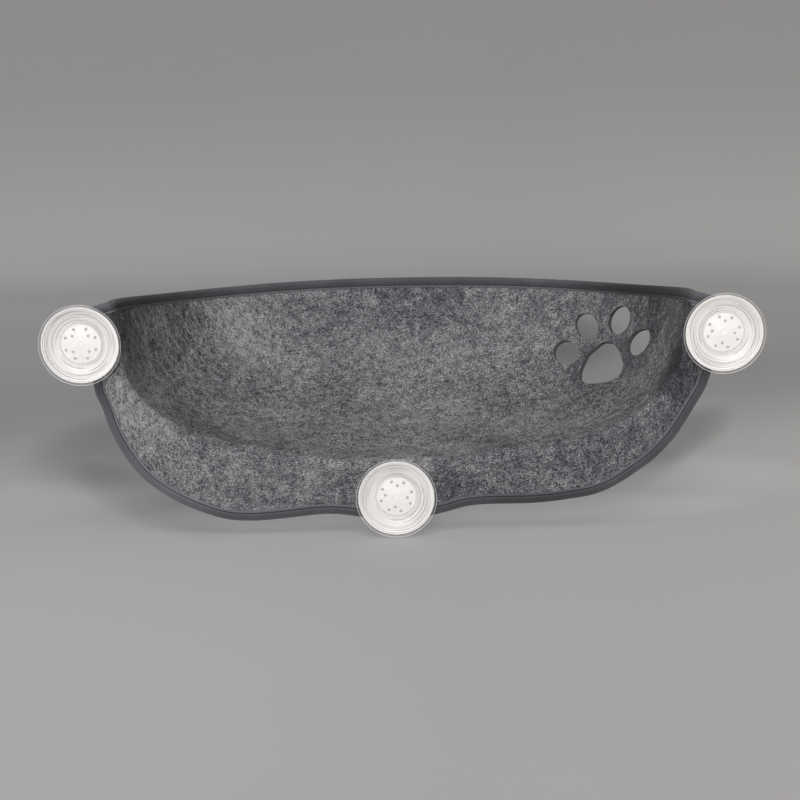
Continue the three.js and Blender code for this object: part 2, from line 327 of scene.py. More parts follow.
@dataclass(frozen=True)
class MelangeFelt:
    """Needled felt of dark and light fibres."""

    fibre_length: float = 3.0 * MM
    fibre_width: float = 0.52 * MM
    fibre_turns: Values = (10, 52, 99, 147)
    dark_turn: float = 168
    streak_turn: float = 3
    strand_edge: Pair = (0.5, 0.72)
    dark_edge: Pair = (0.5, 0.7)
    tuft_weight: float = 1.1
    strand_weight: float = 0.57
    dark_weight: float = 0.38
    streak_weight: float = 0.15
    lump_weight: float = 0.3
    cloud_weight: float = 0.6
    curl: float = 4 * MM
    curl_size: float = 8 * MM
    tuft: float = 8 * MM
    cloud: float = 60 * MM
    mean_mottle: float = 1.0
    mean_shade: float = 0.255
    inside: Pair = (20 * MM, 35 * MM)
    floor: Pair = (-50 * MM, -90 * MM)
    floor_coarseness: float = 0.42
    side: Pair = (-150 * MM, -200 * MM)
    side_coarseness: float = 0.38
    tones: Rows = ((0.05, 38, -6), (0.3, 66, -5), (0.5, 98, -3), (0.72, 138, 0), (0.95, 184, 3))
    rosy: float = 2
    relief: float = 1.1 * MM
    # Painted light and shade on the felt: highlights on the crease over the lower cup, light on the left
    # flange and shade on the right side wall, among others.
    patches: tuple[PaintedLightPatch, ...] = (
        PaintedLightPatch((-150, 150, 5), 75, 0.1),
        PaintedLightPatch((-137, 192, -44), 75, 0.1),
        PaintedLightPatch((-194, 177, 0), 50, 0.05),
        PaintedLightPatch((130, 190, 5), 60, 0.06),
        PaintedLightPatch((-25, 230, -5), 75, -0.11),
        PaintedLightPatch((18, 181, -76), 130, 0.085),
        PaintedLightPatch((5, 45, -110), 80, 0.1),
        PaintedLightPatch((223, 142, -20), 95, -0.14),
        PaintedLightPatch((251, 23, -40), 45, -0.16),
        PaintedLightPatch((191, 117, -74), 60, -0.1),
        PaintedLightPatch((146, 158, -73), 45, -0.06),
        PaintedLightPatch((-245, 18, -68), 60, 0.16),
        PaintedLightPatch((-186, 41, -92), 42, -0.1),
        PaintedLightPatch((-190, 20, -150), 90, 0.04),
        PaintedLightPatch((-65, 17, -163), 38, -0.09),
        PaintedLightPatch((47, 17, -149), 42, -0.15),
        PaintedLightPatch((126, 17, -141), 60, -0.07),
        PaintedLightPatch((190, 20, -150), 110, -0.06),
        PaintedLightPatch((-168, 146, -71), 45, -0.08),
        PaintedLightPatch((218, 59, -73), 45, -0.1),
        PaintedLightPatch((34, 225, -25), 50, -0.12),
        PaintedLightPatch((253, 39, -34), 40, -0.14),
        PaintedLightPatch((102, 88, -105), 60, 0.07),
        PaintedLightPatch((-142, 90, -97), 60, 0.1),
        PaintedLightPatch((0, 30, -104), 50, 0.04),
        PaintedLightPatch((262, 25, -45), 35, -0.12),
        PaintedLightPatch((-252, 20, -22), 42, 0.1),
        PaintedLightPatch((-255, 43, -28), 30, 0.1),
        PaintedLightPatch((-240, 17, -70), 30, 0.05),
        PaintedLightPatch((-76, 28, -108), 22, 0.12),
        PaintedLightPatch((48, 28, -104), 22, 0.14),
        PaintedLightPatch((48, 43, -111), 26, 0.12),
        PaintedLightPatch((-98, 45, -109), 28, 0.08),
        PaintedLightPatch((117, 162, -78), 45, -0.1),
        PaintedLightPatch((36, 17, -126), 30, -0.12),
    )

    def build(self) -> Finish:
        """Makes the material.

        Returns:
            The material.
        """
        graph = Graph("melange_felt")
        flat = graph.flat()
        bent = self._drifting(graph, flat)
        length, width = self.fibre_length, self.fibre_width
        strands = None
        for turn in self.fibre_turns:
            layer = graph.stretched(bent, turn, length, width).between(*self.strand_edge)
            strands = layer if strands is None else strands.larger(layer)
        dark = graph.stretched(bent, self.dark_turn, 1.4 * length, width).between(*self.dark_edge)
        streaks = graph.stretched(bent, self.streak_turn, 3.2 * length, 3.4 * width)
        tufts = graph.noise(bent, self.tuft, 5.0, 0.78)
        lumps = graph.noise(bent, 1.7 * self.tuft)
        clouds = graph.noise(flat, self.cloud, 3.0, 0.6)
        mottle = self.tuft_weight * tufts + self.strand_weight * strands - self.dark_weight * dark
        mottle = mottle + self.streak_weight * streaks + self.lump_weight * lumps
        mottle = (mottle - self.mean_mottle) * self._coarseness(graph)
        shade = mottle + self.cloud_weight * clouds + self.mean_shade + painted_light_and_shade(graph, self.patches)
        stops = [(at, grey(level, warm, self.rosy)) for at, level, warm in self.tones]
        return graph.finish(
            {
                "Base Color": graph.ramp(stops, shade),
                "Roughness": 0.95,
                "Specular IOR Level": 0.15,
                "Sheen Weight": 0.06,
                "Sheen Roughness": 0.6,
                "Normal": graph.bump(0.35 * strands + 0.9 * tufts, self.relief, 0.8),
            }
        )

    def _coarseness(self, graph: Graph) -> Number:
        """How strong the mottle is: rougher on the floor of the bowl and on its left wall.

        Args:
            graph: The felt's graph.

        Returns:
            1 on the back wall and the flange, more elsewhere.
        """
        across, depth, height = graph.parts(graph.place())
        floor = self.floor_coarseness * height.between(*self.floor)
        side = self.side_coarseness * across.between(*self.side)
        return 1 + depth.between(*self.inside) * floor.larger(side)

    def _drifting(self, graph: Graph, flat: Socket) -> Socket:
        """Coordinates that wander, so that the fibres curl.

        Across the cloth they lie halfway between its own length and the straight way across.

        Args:
            graph: The felt's graph.
            flat: Places on the flat cloth.

        Returns:
            The coordinates.
        """
        straight = graph.parts(graph.place())[0]
        own = graph.parts(flat)
        across = 0.5 * own[0] + 0.5 * straight
        base = graph.node("ShaderNodeCombineXYZ", None, {0: across, 1: own[1]}).outputs[0]
        noise = {"Vector": base, "Scale": 1 / self.curl_size, "Detail": 2.5}
        drift = graph.node("ShaderNodeTexNoise", None, noise).outputs["Color"]
        sockets = {0: drift, 1: (self.curl, self.curl, 0), 2: base}
        return graph.node("ShaderNodeVectorMath", {"operation": "MULTIPLY_ADD"}, sockets).outputs[0]


@dataclass(frozen=True)
class BindingTape:
    """Ribbed woven tape, with a dark groove where it is sewn.

    Its UV map runs along the tape and then across it. Seam and shaded are places across.
    """

    rib: float = 1.55 * MM
    pick: float = 0.9 * MM
    level: float = 77
    rosy: float = 2
    tones: Rows = ((0.0, -38, -3), (0.5, 0, -4), (1.0, 34, -4))
    rib_weight: float = 0.32
    pick_weight: float = 0.08
    dust_weight: float = 0.65
    wear_weight: float = 0.35
    seam_weight: float = 0.6
    shaded_weight: float = 0.24
    base_shade: float = -0.14
    seam: float = 3.37 * MM
    shaded: Values = (4.0 * MM, 5.2 * MM, 7.2 * MM, 10.0 * MM)
    # Painted light and shade on the tape: darker along the rim's sides and back and low on the right,
    # lighter low on the left and on the ears.
    patches: tuple[PaintedLightPatch, ...] = (
        PaintedLightPatch((-235, 100, 25), 125, -0.3),
        PaintedLightPatch((225, 105, 25), 140, -0.54),
        PaintedLightPatch((0, 225, 25), 190, -0.1),
        PaintedLightPatch((-215, 17, -110), 110, 0.34),
        PaintedLightPatch((110, 17, -165), 110, -0.2),
        PaintedLightPatch((-300, 17, 20), 60, 0.42),
        PaintedLightPatch((300, 17, 20), 60, 0.42),
    )

    def build(self) -> Finish:
        """Makes the material.

        Returns:
            The material.
        """
        graph = Graph("binding_tape")
        flat = graph.flat()
        along, sideways, _ = graph.parts(flat)
        wander = graph.noise(flat, 3 * MM, 1.0)
        ribs = (along * (2 * math.pi / self.rib) + 3 * wander).sine() * 0.5 + 0.5
        picks = (sideways * (2 * math.pi / self.pick)).sine() * 0.5 + 0.5
        dust = graph.noise(flat, 1.6 * MM, 3.0, 0.65)
        wear = graph.noise(flat, 30 * MM)
        seam = sideways.between(self.seam - 0.9 * MM, self.seam - 0.3 * MM)
        seam = seam * (1 - sideways.between(self.seam + 0.3 * MM, self.seam + 0.9 * MM))
        # Painted shade on the outer part of the tape's face towards its rounded edge, and painted light
        # on the narrow band between the seam and the tape's inner edge.
        shaded = sideways.between(*self.shaded[:2]) * (1 - sideways.between(*self.shaded[2:]))
        shaded = shaded - 0.6 * (1 - sideways.between(0.6 * self.seam, 0.9 * self.seam))
        shade = self.rib_weight * ribs + self.pick_weight * picks + self.dust_weight * dust
        shade = shade + self.wear_weight * wear + self.base_shade
        shade = shade - self.seam_weight * seam - self.shaded_weight * shaded
        shade = shade + painted_light_and_shade(graph, self.patches)
        stops = [(at, grey(self.level + change, warm, self.rosy)) for at, change, warm in self.tones]
        return graph.finish(
            {
                "Base Color": graph.ramp(stops, shade),
                "Roughness": 0.7,
                "Specular IOR Level": 0.35,
                "Sheen Weight": 0.1,
                "Normal": graph.bump(ribs * 0.7 + picks * 0.3 + dust * 0.3, 0.16 * MM, 0.8),
            }
        )


@dataclass(frozen=True)
class Thread:
    """Twisted sewing thread."""

    level: float = 26
    twist: float = 0.5 * MM

    def build(self) -> Finish:
        """Makes the material.

        Returns:
            The material.
        """
        graph = Graph("sewing_thread")
        plies = graph.stretched(graph.place(), 35, self.twist * 3, self.twist)
        colour = graph.ramp([(0.3, grey(self.level - 12)), (0.7, grey(self.level + 18))], plies)
        return graph.finish(
            {"Base Color": colour, "Roughness": 0.55, "Normal": graph.bump(plies, 0.08 * MM)}
        )


@dataclass(frozen=True)
class ClearVinyl:
    """Clear soft vinyl: see-through, with a painted highlight on the lip, a milky boss that also paints
    light over the shadow round the disc, and rings of painted dark reflection that also bump the surface.

    It reads the piece's UV map, whose first number is the distance from the cup's middle.
    """

    lip: float = 36.8 * MM
    boss: Pair = (17.9 * MM, 19.6 * MM)
    rings: Values = (31.5, 28.2, 25.6, 22.4)
    ring_width: float = 0.34
    reflection_darkening: float = 0.45
    least_gloss: float = 0.035
    slope_gloss: float = 0.35
    lip_highlight: float = 0.42
    boss_milk_and_light: float = 0.34
    gloss_colour: Values = (0.87, 0.86, 0.84, 1)
    clear_colour: Values = (0.985, 0.985, 0.99, 1)
    dark_reflection_colour: Values = (0.5, 0.5, 0.54, 1)

    def _painted_reflection_rings(self, graph: Graph, radius: Number) -> Number:
        """Draws the rings of painted dark reflection.

        Args:
            graph: The material's graph.
            radius: Distance from the middle.

        Returns:
            1 on a ring and 0 elsewhere, fading in and out round the cup.
        """
        place = graph.place()
        total = None
        for ring in self.rings:
            off = (radius - ring * MM) / (self.ring_width * MM)
            line = 1 / (1 + off * off * off * off)
            broken = graph.noise(place, (9 + ring) * MM, 0.0).between(0.44, 0.6)
            line = line * (0.1 + 0.9 * broken)
            total = line if total is None else total.larger(line)
        return total

    def build(self) -> Finish:
        """Makes the material.

        Returns:
            The material.
        """
        graph = Graph("clear_vinyl")
        place = graph.place()
        radius = graph.parts(graph.flat())[0]
        rings = self._painted_reflection_rings(graph, radius)
        inner, outer = self.boss
        # Painted highlight: a share of white surface makes the lip show as a bright line.
        lip = radius.between(self.lip, self.lip + 0.5 * MM)
        # The boss is milky vinyl, and its share also paints light over the shadow round the disc's edge.
        boss = radius.between(inner, inner + 0.5 * MM) * (1 - radius.between(outer, outer + 1.5 * MM))
        normal = graph.bump(graph.noise(place, 12 * MM) + 0.3 * rings, 0.6 * MM, 0.35)
        rough = 0.06 + 0.08 * graph.noise(place, 3 * MM, 3.0)
        gloss = graph.surface({"Base Color": self.gloss_colour, "Roughness": rough, "Normal": normal})
        clear, dark_reflection = (
            graph.node("ShaderNodeBsdfTransparent", None, {"Color": colour}).outputs[0]
            for colour in (self.clear_colour, self.dark_reflection_colour)
        )
        # Painted dark reflection: on the rings the vinyl darkens what shows through it.
        body = graph.shader_mix(clear, dark_reflection, self.reflection_darkening * rings)
        facing = graph.number("ShaderNodeLayerWeight", "Facing", None, {"Blend": 0.5, "Normal": normal})
        share = self.least_gloss + self.slope_gloss * facing**4
        share = share + self.lip_highlight * lip + self.boss_milk_and_light * boss
        return graph.finish(graph.shader_mix(body, gloss, share))


@dataclass(frozen=True)
class WhitePlastic:
    """Moulded white plastic with a faint skin.

    The tones are pairs of distance from the piece's axis and change of level; on the dish they are
    painted shade and light. Small holes, whose faces keep the cutter's UV map and so lie beyond the
    reach, get painted shade, and so does the lower cup. Facing shade paints faces that look up darker and
    faces that look down lighter, standing in for the light that comes through a thin shell.
    """

    name: str
    level: float = 243
    warm: float = 3
    rough: float = 0.3
    tones: Pairs = ((0, 0), (40, 0))
    reach: float = 40
    low: Pair = (-70 * MM, -120 * MM)
    lower_cup_shade: float = 0.1
    cloud_dullness: float = 0.06
    hole_shade: float = 0.6
    dirt_and_shade_level: float = 150
    dirt_and_shade_warm: float = 6
    facing_shade: float = 0

    def build(self) -> Finish:
        """Makes the material.

        Returns:
            The material.
        """
        graph = Graph(self.name)
        place = graph.place()
        reach = self.reach * MM
        radius = graph.parts(graph.flat())[0]
        cloud = graph.noise(place, 12 * MM, 3.0)
        skin = graph.noise(place, 0.5 * MM)
        # On the dish the tone ramp is painted shade and light.
        stops = [(at / self.reach, grey(self.level + change, self.warm)) for at, change in self.tones]
        clean = graph.ramp(stops, radius / reach + 0.012 * cloud)
        # Painted shade: the lower cup and the faces of small holes are darker, faces that look up darker
        # and faces that look down lighter.
        low = graph.parts(place)[2].between(*self.low)
        in_hole = radius.between(reach, 1.1 * reach)
        upward = graph.parts(graph.node("ShaderNodeNewGeometry").outputs["Normal"])[2]
        # The painted shade is mixed with faint random clouding of the plastic.
        dirt_and_shade = self.cloud_dullness * cloud + self.lower_cup_shade * low + self.hole_shade * in_hole
        dirt_and_shade = dirt_and_shade + self.facing_shade * (0.35 + upward)
        dirt_and_shade_colour = (*grey(self.dirt_and_shade_level, self.dirt_and_shade_warm), 1)
        return graph.finish(
            {
                "Base Color": graph.mix(clean, dirt_and_shade_colour, dirt_and_shade),
                "Roughness": self.rough + 0.1 * cloud,
                "Normal": graph.bump(skin, 0.02 * MM, 0.5),
            }
        )


# Making meshes


def clear_selection() -> None:
    """Leaves edit mode and deselects everything."""
    if bpy.context.object is not None and bpy.context.object.mode != "OBJECT":
        bpy.ops.object.mode_set(mode="OBJECT")
    bpy.ops.object.select_all(action="DESELECT")


def pick(piece: Piece) -> None:
    """Makes one object the only one selected, and the active one."""
    clear_selection()
    piece.select_set(True)
    bpy.context.view_layer.objects.active = piece


def new_piece(name: str) -> Piece:
    """Names the primitive that was just added.

    Args:
        name: Its name.

    Returns:
        The object.
    """
    piece = bpy.context.object
    piece.name = name
    piece.data.name = name
    return piece


def places_of(piece: Piece) -> np.ndarray:
    """The places of a mesh's points, one row each."""
    flat = np.zeros(len(piece.data.vertices) * 3)
    piece.data.vertices.foreach_get("co", flat)
    return flat.reshape(-1, 3)


def move_points(piece: Piece, places: np.ndarray) -> None:
    """Gives a mesh's points new places, one row for each."""
    piece.data.vertices.foreach_set("co", np.asarray(places, float).ravel())
    piece.data.update()


def grid_rows(piece: Piece, columns: int, rows: int) -> tuple[np.ndarray, np.ndarray]:
    """Finds each point's column and row on a grid primitive of size one.

    Args:
        piece: The grid.
        columns: Faces across.
        rows: Faces up.

    Returns:
        The columns and the rows, from 0.
    """
    start = places_of(piece)
    column = np.rint((start[:, 0] + 0.5) * columns).astype(int)
    row = np.rint((start[:, 1] + 0.5) * rows).astype(int)
    return column, row


def lay_flat(piece: Piece, flat: np.ndarray) -> None:
    """Sets the piece's UV map to the flat place of each point, in metres."""
    corners = np.zeros(len(piece.data.loops), int)
    piece.data.loops.foreach_get("vertex_index", corners)
    piece.data.uv_layers[0].data.foreach_set("uv", flat[corners].ravel())


def edit(piece: Piece, *steps: Callable[[], object]) -> None:
    """Runs edit-mode steps on all of a mesh.

    Args:
        piece: The object.
        steps: The operators, each as a call without arguments.
    """
    pick(piece)
    bpy.ops.object.mode_set(mode="EDIT")
    bpy.ops.mesh.select_all(action="SELECT")
    for step in steps:
        step()
    bpy.ops.object.mode_set(mode="OBJECT")


def weld(distance: float = 0.002 * MM) -> Callable[[], object]:
    """A step that merges points closer than a distance."""
    return lambda: bpy.ops.mesh.remove_doubles(threshold=distance)


def face_out() -> object:
    """A step that turns all faces outwards."""
    return bpy.ops.mesh.normals_make_consistent(inside=False)


def select_only(piece: Piece, kind: str, wanted: Callable[[object], bool]) -> None:
    """Enters edit mode with only some of a mesh's faces or edges selected.

    Args:
        piece: The object.
        kind: FACE or EDGE.
        wanted: Tells which of them are selected.
    """
    pick(piece)
    bpy.ops.object.mode_set(mode="EDIT")
    bpy.ops.mesh.select_mode(type=kind)
    bpy.ops.mesh.select_all(action="DESELECT")
    bpy.ops.object.mode_set(mode="OBJECT")
    for part in piece.data.polygons if kind == "FACE" else piece.data.edges:
        part.select = wanted(part)
    bpy.ops.object.mode_set(mode="EDIT")


def apply_modifier(piece: Piece, kind: str, **settings: object) -> None:
    """Adds a modifier and applies it.

    Args:
        piece: The object.
        kind: The modifier's type.
        settings: Its settings.
    """
    pick(piece)
    modifier = piece.modifiers.new(kind.lower(), kind)
    for key, value in settings.items():
        setattr(modifier, key, value)
    bpy.ops.object.modifier_apply(modifier=modifier.name)


def cut_away(piece: Piece, cutter: Piece) -> None:
    """Cuts one object's solid out of another and removes it."""
    apply_modifier(piece, "BOOLEAN", operation="DIFFERENCE", object=cutter, solver="EXACT")
    bpy.data.objects.remove(cutter)


def smooth(piece: Piece, degrees: float = 35) -> None:
    """Shades a piece smooth except at edges sharper than an angle."""
    pick(piece)
    bpy.ops.object.shade_smooth_by_angle(angle=math.radians(degrees))


def dress(piece: Piece, finish: Finish) -> None:
    """Gives a piece its material."""
    piece.data.materials.clear()
    piece.data.materials.append(finish)


def drum(name: str, size: Pair, at: Values, steps: int) -> Piece:
    """A plain cylinder along the Y axis.

    Args:
        name: The piece's name.
        size: Its radius and length, in millimetres.
        at: Its middle, in millimetres.
        steps: How many sides it has.

    Returns:
        The cylinder.
    """
    clear_selection()
    bpy.ops.mesh.primitive_cylinder_add(
        vertices=steps,
        radius=size[0] * MM,
        depth=size[1] * MM,
        location=[part * MM for part in at],
        rotation=(math.pi / 2, 0, 0),
    )
    return new_piece(name)


def turned(name: str, profile: Sequence[Pair], steps: int = 96) -> Piece:
    """Spins a closed outline about the Y axis.

    Args:
        name: The piece's name.
        profile: Points of the outline as radius and depth behind the pane, in millimetres.
        steps: How many steps the turn has.

    Returns:
        The closed piece.
    """
    clear_selection()
    bpy.ops.mesh.primitive_circle_add(vertices=len(profile), radius=profile[0][0] * MM + MM)
    piece = new_piece(name)
    move_points(piece, [(radius * MM, depth * MM, 0) for radius, depth in profile])
    edit(
        piece,
        lambda: bpy.ops.mesh.spin(steps=steps, angle=2 * math.pi, center=(0, 0, 0), axis=(0, 1, 0)),
        lambda: bpy.ops.mesh.select_all(action="SELECT"),
        weld(),
        lambda: bpy.ops.mesh.dissolve_degenerate(threshold=0.001 * MM),
        face_out,
    )
    places = places_of(piece)
    lay_flat(piece, np.stack([np.hypot(places[:, 0], places[:, 2]), places[:, 1]], axis=1))
    return piece


def curve_through(points: Sequence[Pair], pieces: int) -> list[Pair]:
    """Runs a smooth open curve through points.

    Args:
        points: The points.
        pieces: Steps between two of them.

    Returns:
        The curve's points, the given ones included.
    """
    known = np.asarray(points, float)
    made = []
    for i in range(len(known) - 1):
        before = known[max(i - 1, 0)]
        start, end = known[i], known[i + 1]
        after = known[min(i + 2, len(known) - 1)]
        slope_in, slope_out = (end - before) / 2, (after - start) / 2
        for t in np.arange(pieces) / pieces:
            made.append(
                (2 * start - 2 * end + slope_in + slope_out) * t**3
                + (3 * end - 3 * start - 2 * slope_in - slope_out) * t**2
                + slope_in * t
                + start
            )
    made.append(known[-1])
    return [tuple(point) for point in made]


def lengths_along(points: np.ndarray) -> np.ndarray:
    """The distance along a line of points, from its first to each of them."""
    steps = np.linalg.norm(np.diff(points, axis=0), axis=1)
    return np.concatenate([[0.0], np.cumsum(steps)])


def read_at(wanted: np.ndarray, lengths: np.ndarray, rows: np.ndarray) -> np.ndarray:
    """Reads rows of values at other lengths along their line."""
    return np.stack([np.interp(wanted, lengths, part) for part in rows.T], axis=1)


def looped(rows: np.ndarray) -> np.ndarray:
    """Rows with the first one again at their end."""
    return np.concatenate([rows, rows[:1]])


def upright(flat: np.ndarray, depth: float = 0.0) -> np.ndarray:
    """Rows of x and z as points at a depth behind the pane."""
    return np.insert(flat, 1, depth, axis=1)


def halved(is_past: Callable[[np.ndarray], np.ndarray], low: np.ndarray, high: np.ndarray) -> np.ndarray:
    """Finds where a condition starts to hold, by halving spans.

    Args:
        is_past: Tells which places lie past the start.
        low: Where the spans start.
        high: Where they end.

    Returns:
        The places.
    """
    for _ in range(40):
        middle = (low + high) / 2
        past = is_past(middle)
        high = np.where(past, middle, high)
        low = np.where(past, low, middle)
    return (low + high) / 2


def even(points: np.ndarray, count: int) -> np.ndarray:
    """Places a number of points evenly along a line."""
    along = lengths_along(points)
    return read_at(np.linspace(0, along[-1], count), along, points)


def soften(values: np.ndarray, reach: float, closed: bool) -> np.ndarray:
    """Evens out rows of values along a line.

    Args:
        values: One row for each point of an evenly spaced line.
        reach: How far it reaches, in points.
        closed: Whether the line is a loop. An open one keeps its ends.

    Returns:
        The softened rows.
    """
    span = int(4 * reach) + 1
    weights = np.exp(-0.5 * (np.arange(-span, span + 1) / reach) ** 2)
    weights /= weights.sum()
    if closed:
        wide = np.concatenate([values[-span:], values, values[:span]])
    else:
        head = 2 * values[0] - values[span:0:-1]
        tail = 2 * values[-1] - values[-2 : -span - 2 : -1]
        wide = np.concatenate([head, values, tail])
    return np.stack([np.convolve(part, weights, "valid") for part in wide.T], axis=1)


def unit(rows: np.ndarray) -> np.ndarray:
    """Rows scaled to a length of one."""
    return rows / np.maximum(np.linalg.norm(rows, axis=-1, keepdims=True), 1e-12)


# The felt's shape


@dataclass(frozen=True)
class BedForm:
    """Sizes and surfaces of the felt's inner face, as the CAD part has them, in millimetres."""

    half_width: float = 263
    depth: float = 220
    drop: float = 148
    corner_height: float = 36
    rim_fall: float = 23.5
    flange_front: float = 17.1
    thickness: float = 4.5
    fold_power: float = 3
    rim_power: float = 2.3
    section_power: float = 2.4
    rim_fall_power: float = 1.2
    cup_outset: float = 29
    ear_radius: float = 27
    ear_arc_share: float = 82 / 90
    lobe_drops: Pair = (173, 162)
    tab_reach: float = 23
    tab_half_width: float = 24
    lower_drop: float = 150
    lower_shift: float = 8
    left_shares: Pairs = (
        (0.972, 0.195),
        (0.966, 0.28),
        (0.946, 0.36),
        (0.922, 0.495),
        (0.871, 0.662),
        (0.811, 0.782),
        (0.718, 0.891),
        (0.592, 0.98),
        (0.497, 1),
        (0.401, 0.992),
        (0.241, 0.969),
    )
    right_shares: Pairs = (
        (0.972, 0.21),
        (0.953, 0.318),
        (0.923, 0.416),
        (0.861, 0.602),
        (0.799, 0.73),
        (0.736, 0.817),
        (0.673, 0.893),
        (0.609, 0.944),
        (0.546, 0.966),
        (0.418, 0.992),
        (0.226, 0.997),
        (0.13, 1.036),
    )

    @property
    def cup_spacing(self) -> float:
        """Half the distance between the upper cups."""
        return self.half_width + self.cup_outset

    def wall(self, across: np.ndarray, under: np.ndarray, out: float) -> np.ndarray:
        """Points on the bowl, or behind its inner face.

        Args:
            across: From the left corner, 0, to the right one, 1.
            under: From the fold, 0, to the level of the corners, 1.
            out: Distance behind the inner face.

        Returns:
            The points, in millimetres.
        """
        along, round_ = np.asarray(across) * np.pi, np.asarray(under) * np.pi / 2
        power = self.fold_power + (self.rim_power - self.fold_power) * np.sin(round_) ** 2
        sideways = np.cos(along)
        reach = np.abs(np.sin(along)) ** (2 / power)
        section = 2 / self.section_power
        x = -(self.half_width + out) * np.sign(sideways) * np.abs(sideways) ** (2 / power)
        y = self.flange_front + (self.depth + out) * reach * np.abs(np.sin(round_)) ** section
        z = self.corner_height - (self.drop + out) * reach * np.abs(np.cos(round_)) ** section
        return np.stack(np.broadcast_arrays(x, y, z), axis=-1)

    def rim_height(self, y: np.ndarray) -> np.ndarray:
        """Height of the rim at a depth behind the pane."""
        share = np.clip((y - self.flange_front) / self.depth, 0, 1)
        return self.corner_height - self.rim_fall * np.sin(share * np.pi / 2) ** self.rim_fall_power

    def rim_under(self, across: np.ndarray, lowered: float) -> np.ndarray:
        """Where the wall reaches the rim.

        Args:
            across: As for wall.
            lowered: How far under the rim, in millimetres.

        Returns:
            The share under, as for wall.
        """

        def above(under: np.ndarray) -> np.ndarray:
            """Which places are over the rim."""
            place = self.wall(across, under, 0)
            return place[..., 2] > self.rim_height(place[..., 1]) - lowered

        return halved(above, np.zeros_like(across), np.ones_like(across))

    def fold(self, across: np.ndarray) -> np.ndarray:
        """The line where the flange turns into the bowl."""
        return self.wall(across, 0 * across, 0)

    def _half_outline(self, side: int, lobe_drop: float, shares: Sequence) -> np.ndarray:
        """The flange's edge from a corner round the ear and down to the tab.

        Args:
            side: -1 for the left and 1 for the right.
            lobe_drop: How low the flange hangs there.
            shares: Points as shares of the cups' spacing and of the drop.

        Returns:
            The points as x and z.
        """
        corner = np.array([self.half_width, self.corner_height])
        ear = np.array([self.cup_spacing, 0.0])
        to_corner = corner - ear
        start = math.atan2(to_corner[1], to_corner[0])
        start -= math.acos(self.ear_radius / np.linalg.norm(to_corner))
        end = -self.ear_arc_share * math.pi / 2
        angles = np.linspace(start, end, 40)
        arc = ear + self.ear_radius * np.stack([np.cos(angles), np.sin(angles)], axis=1)
        places = [(x * self.cup_spacing, -z * lobe_drop) for x, z in shares]
        places.append((self.tab_half_width - side * self.lower_shift, -self.lower_drop - self.tab_reach))
        curve = np.array(curve_through([tuple(arc[-1]), *places], 12))
        line = np.concatenate([[corner], arc, curve[1:]])
        return line * (side, 1)

    def outline(self) -> np.ndarray:
        """The flange's edge from the left corner round to the right one.

        Returns:
            Evenly spaced points as x and z, about 1 mm apart.
        """
        left = self._half_outline(-1, self.lobe_drops[0], self.left_shares)
        right = self._half_outline(1, self.lobe_drops[1], self.right_shares)
        whole = np.concatenate([left, right[::-1]])
        count = int(lengths_along(whole)[-1])
        return soften(even(whole, count), 3.0, closed=False)

    def inward(self, line: np.ndarray) -> np.ndarray:
        """Directions square to the outline, into the flange."""
        steps = unit(np.gradient(line, axis=0))
        return np.stack([-steps[:, 1], steps[:, 0]], axis=1)


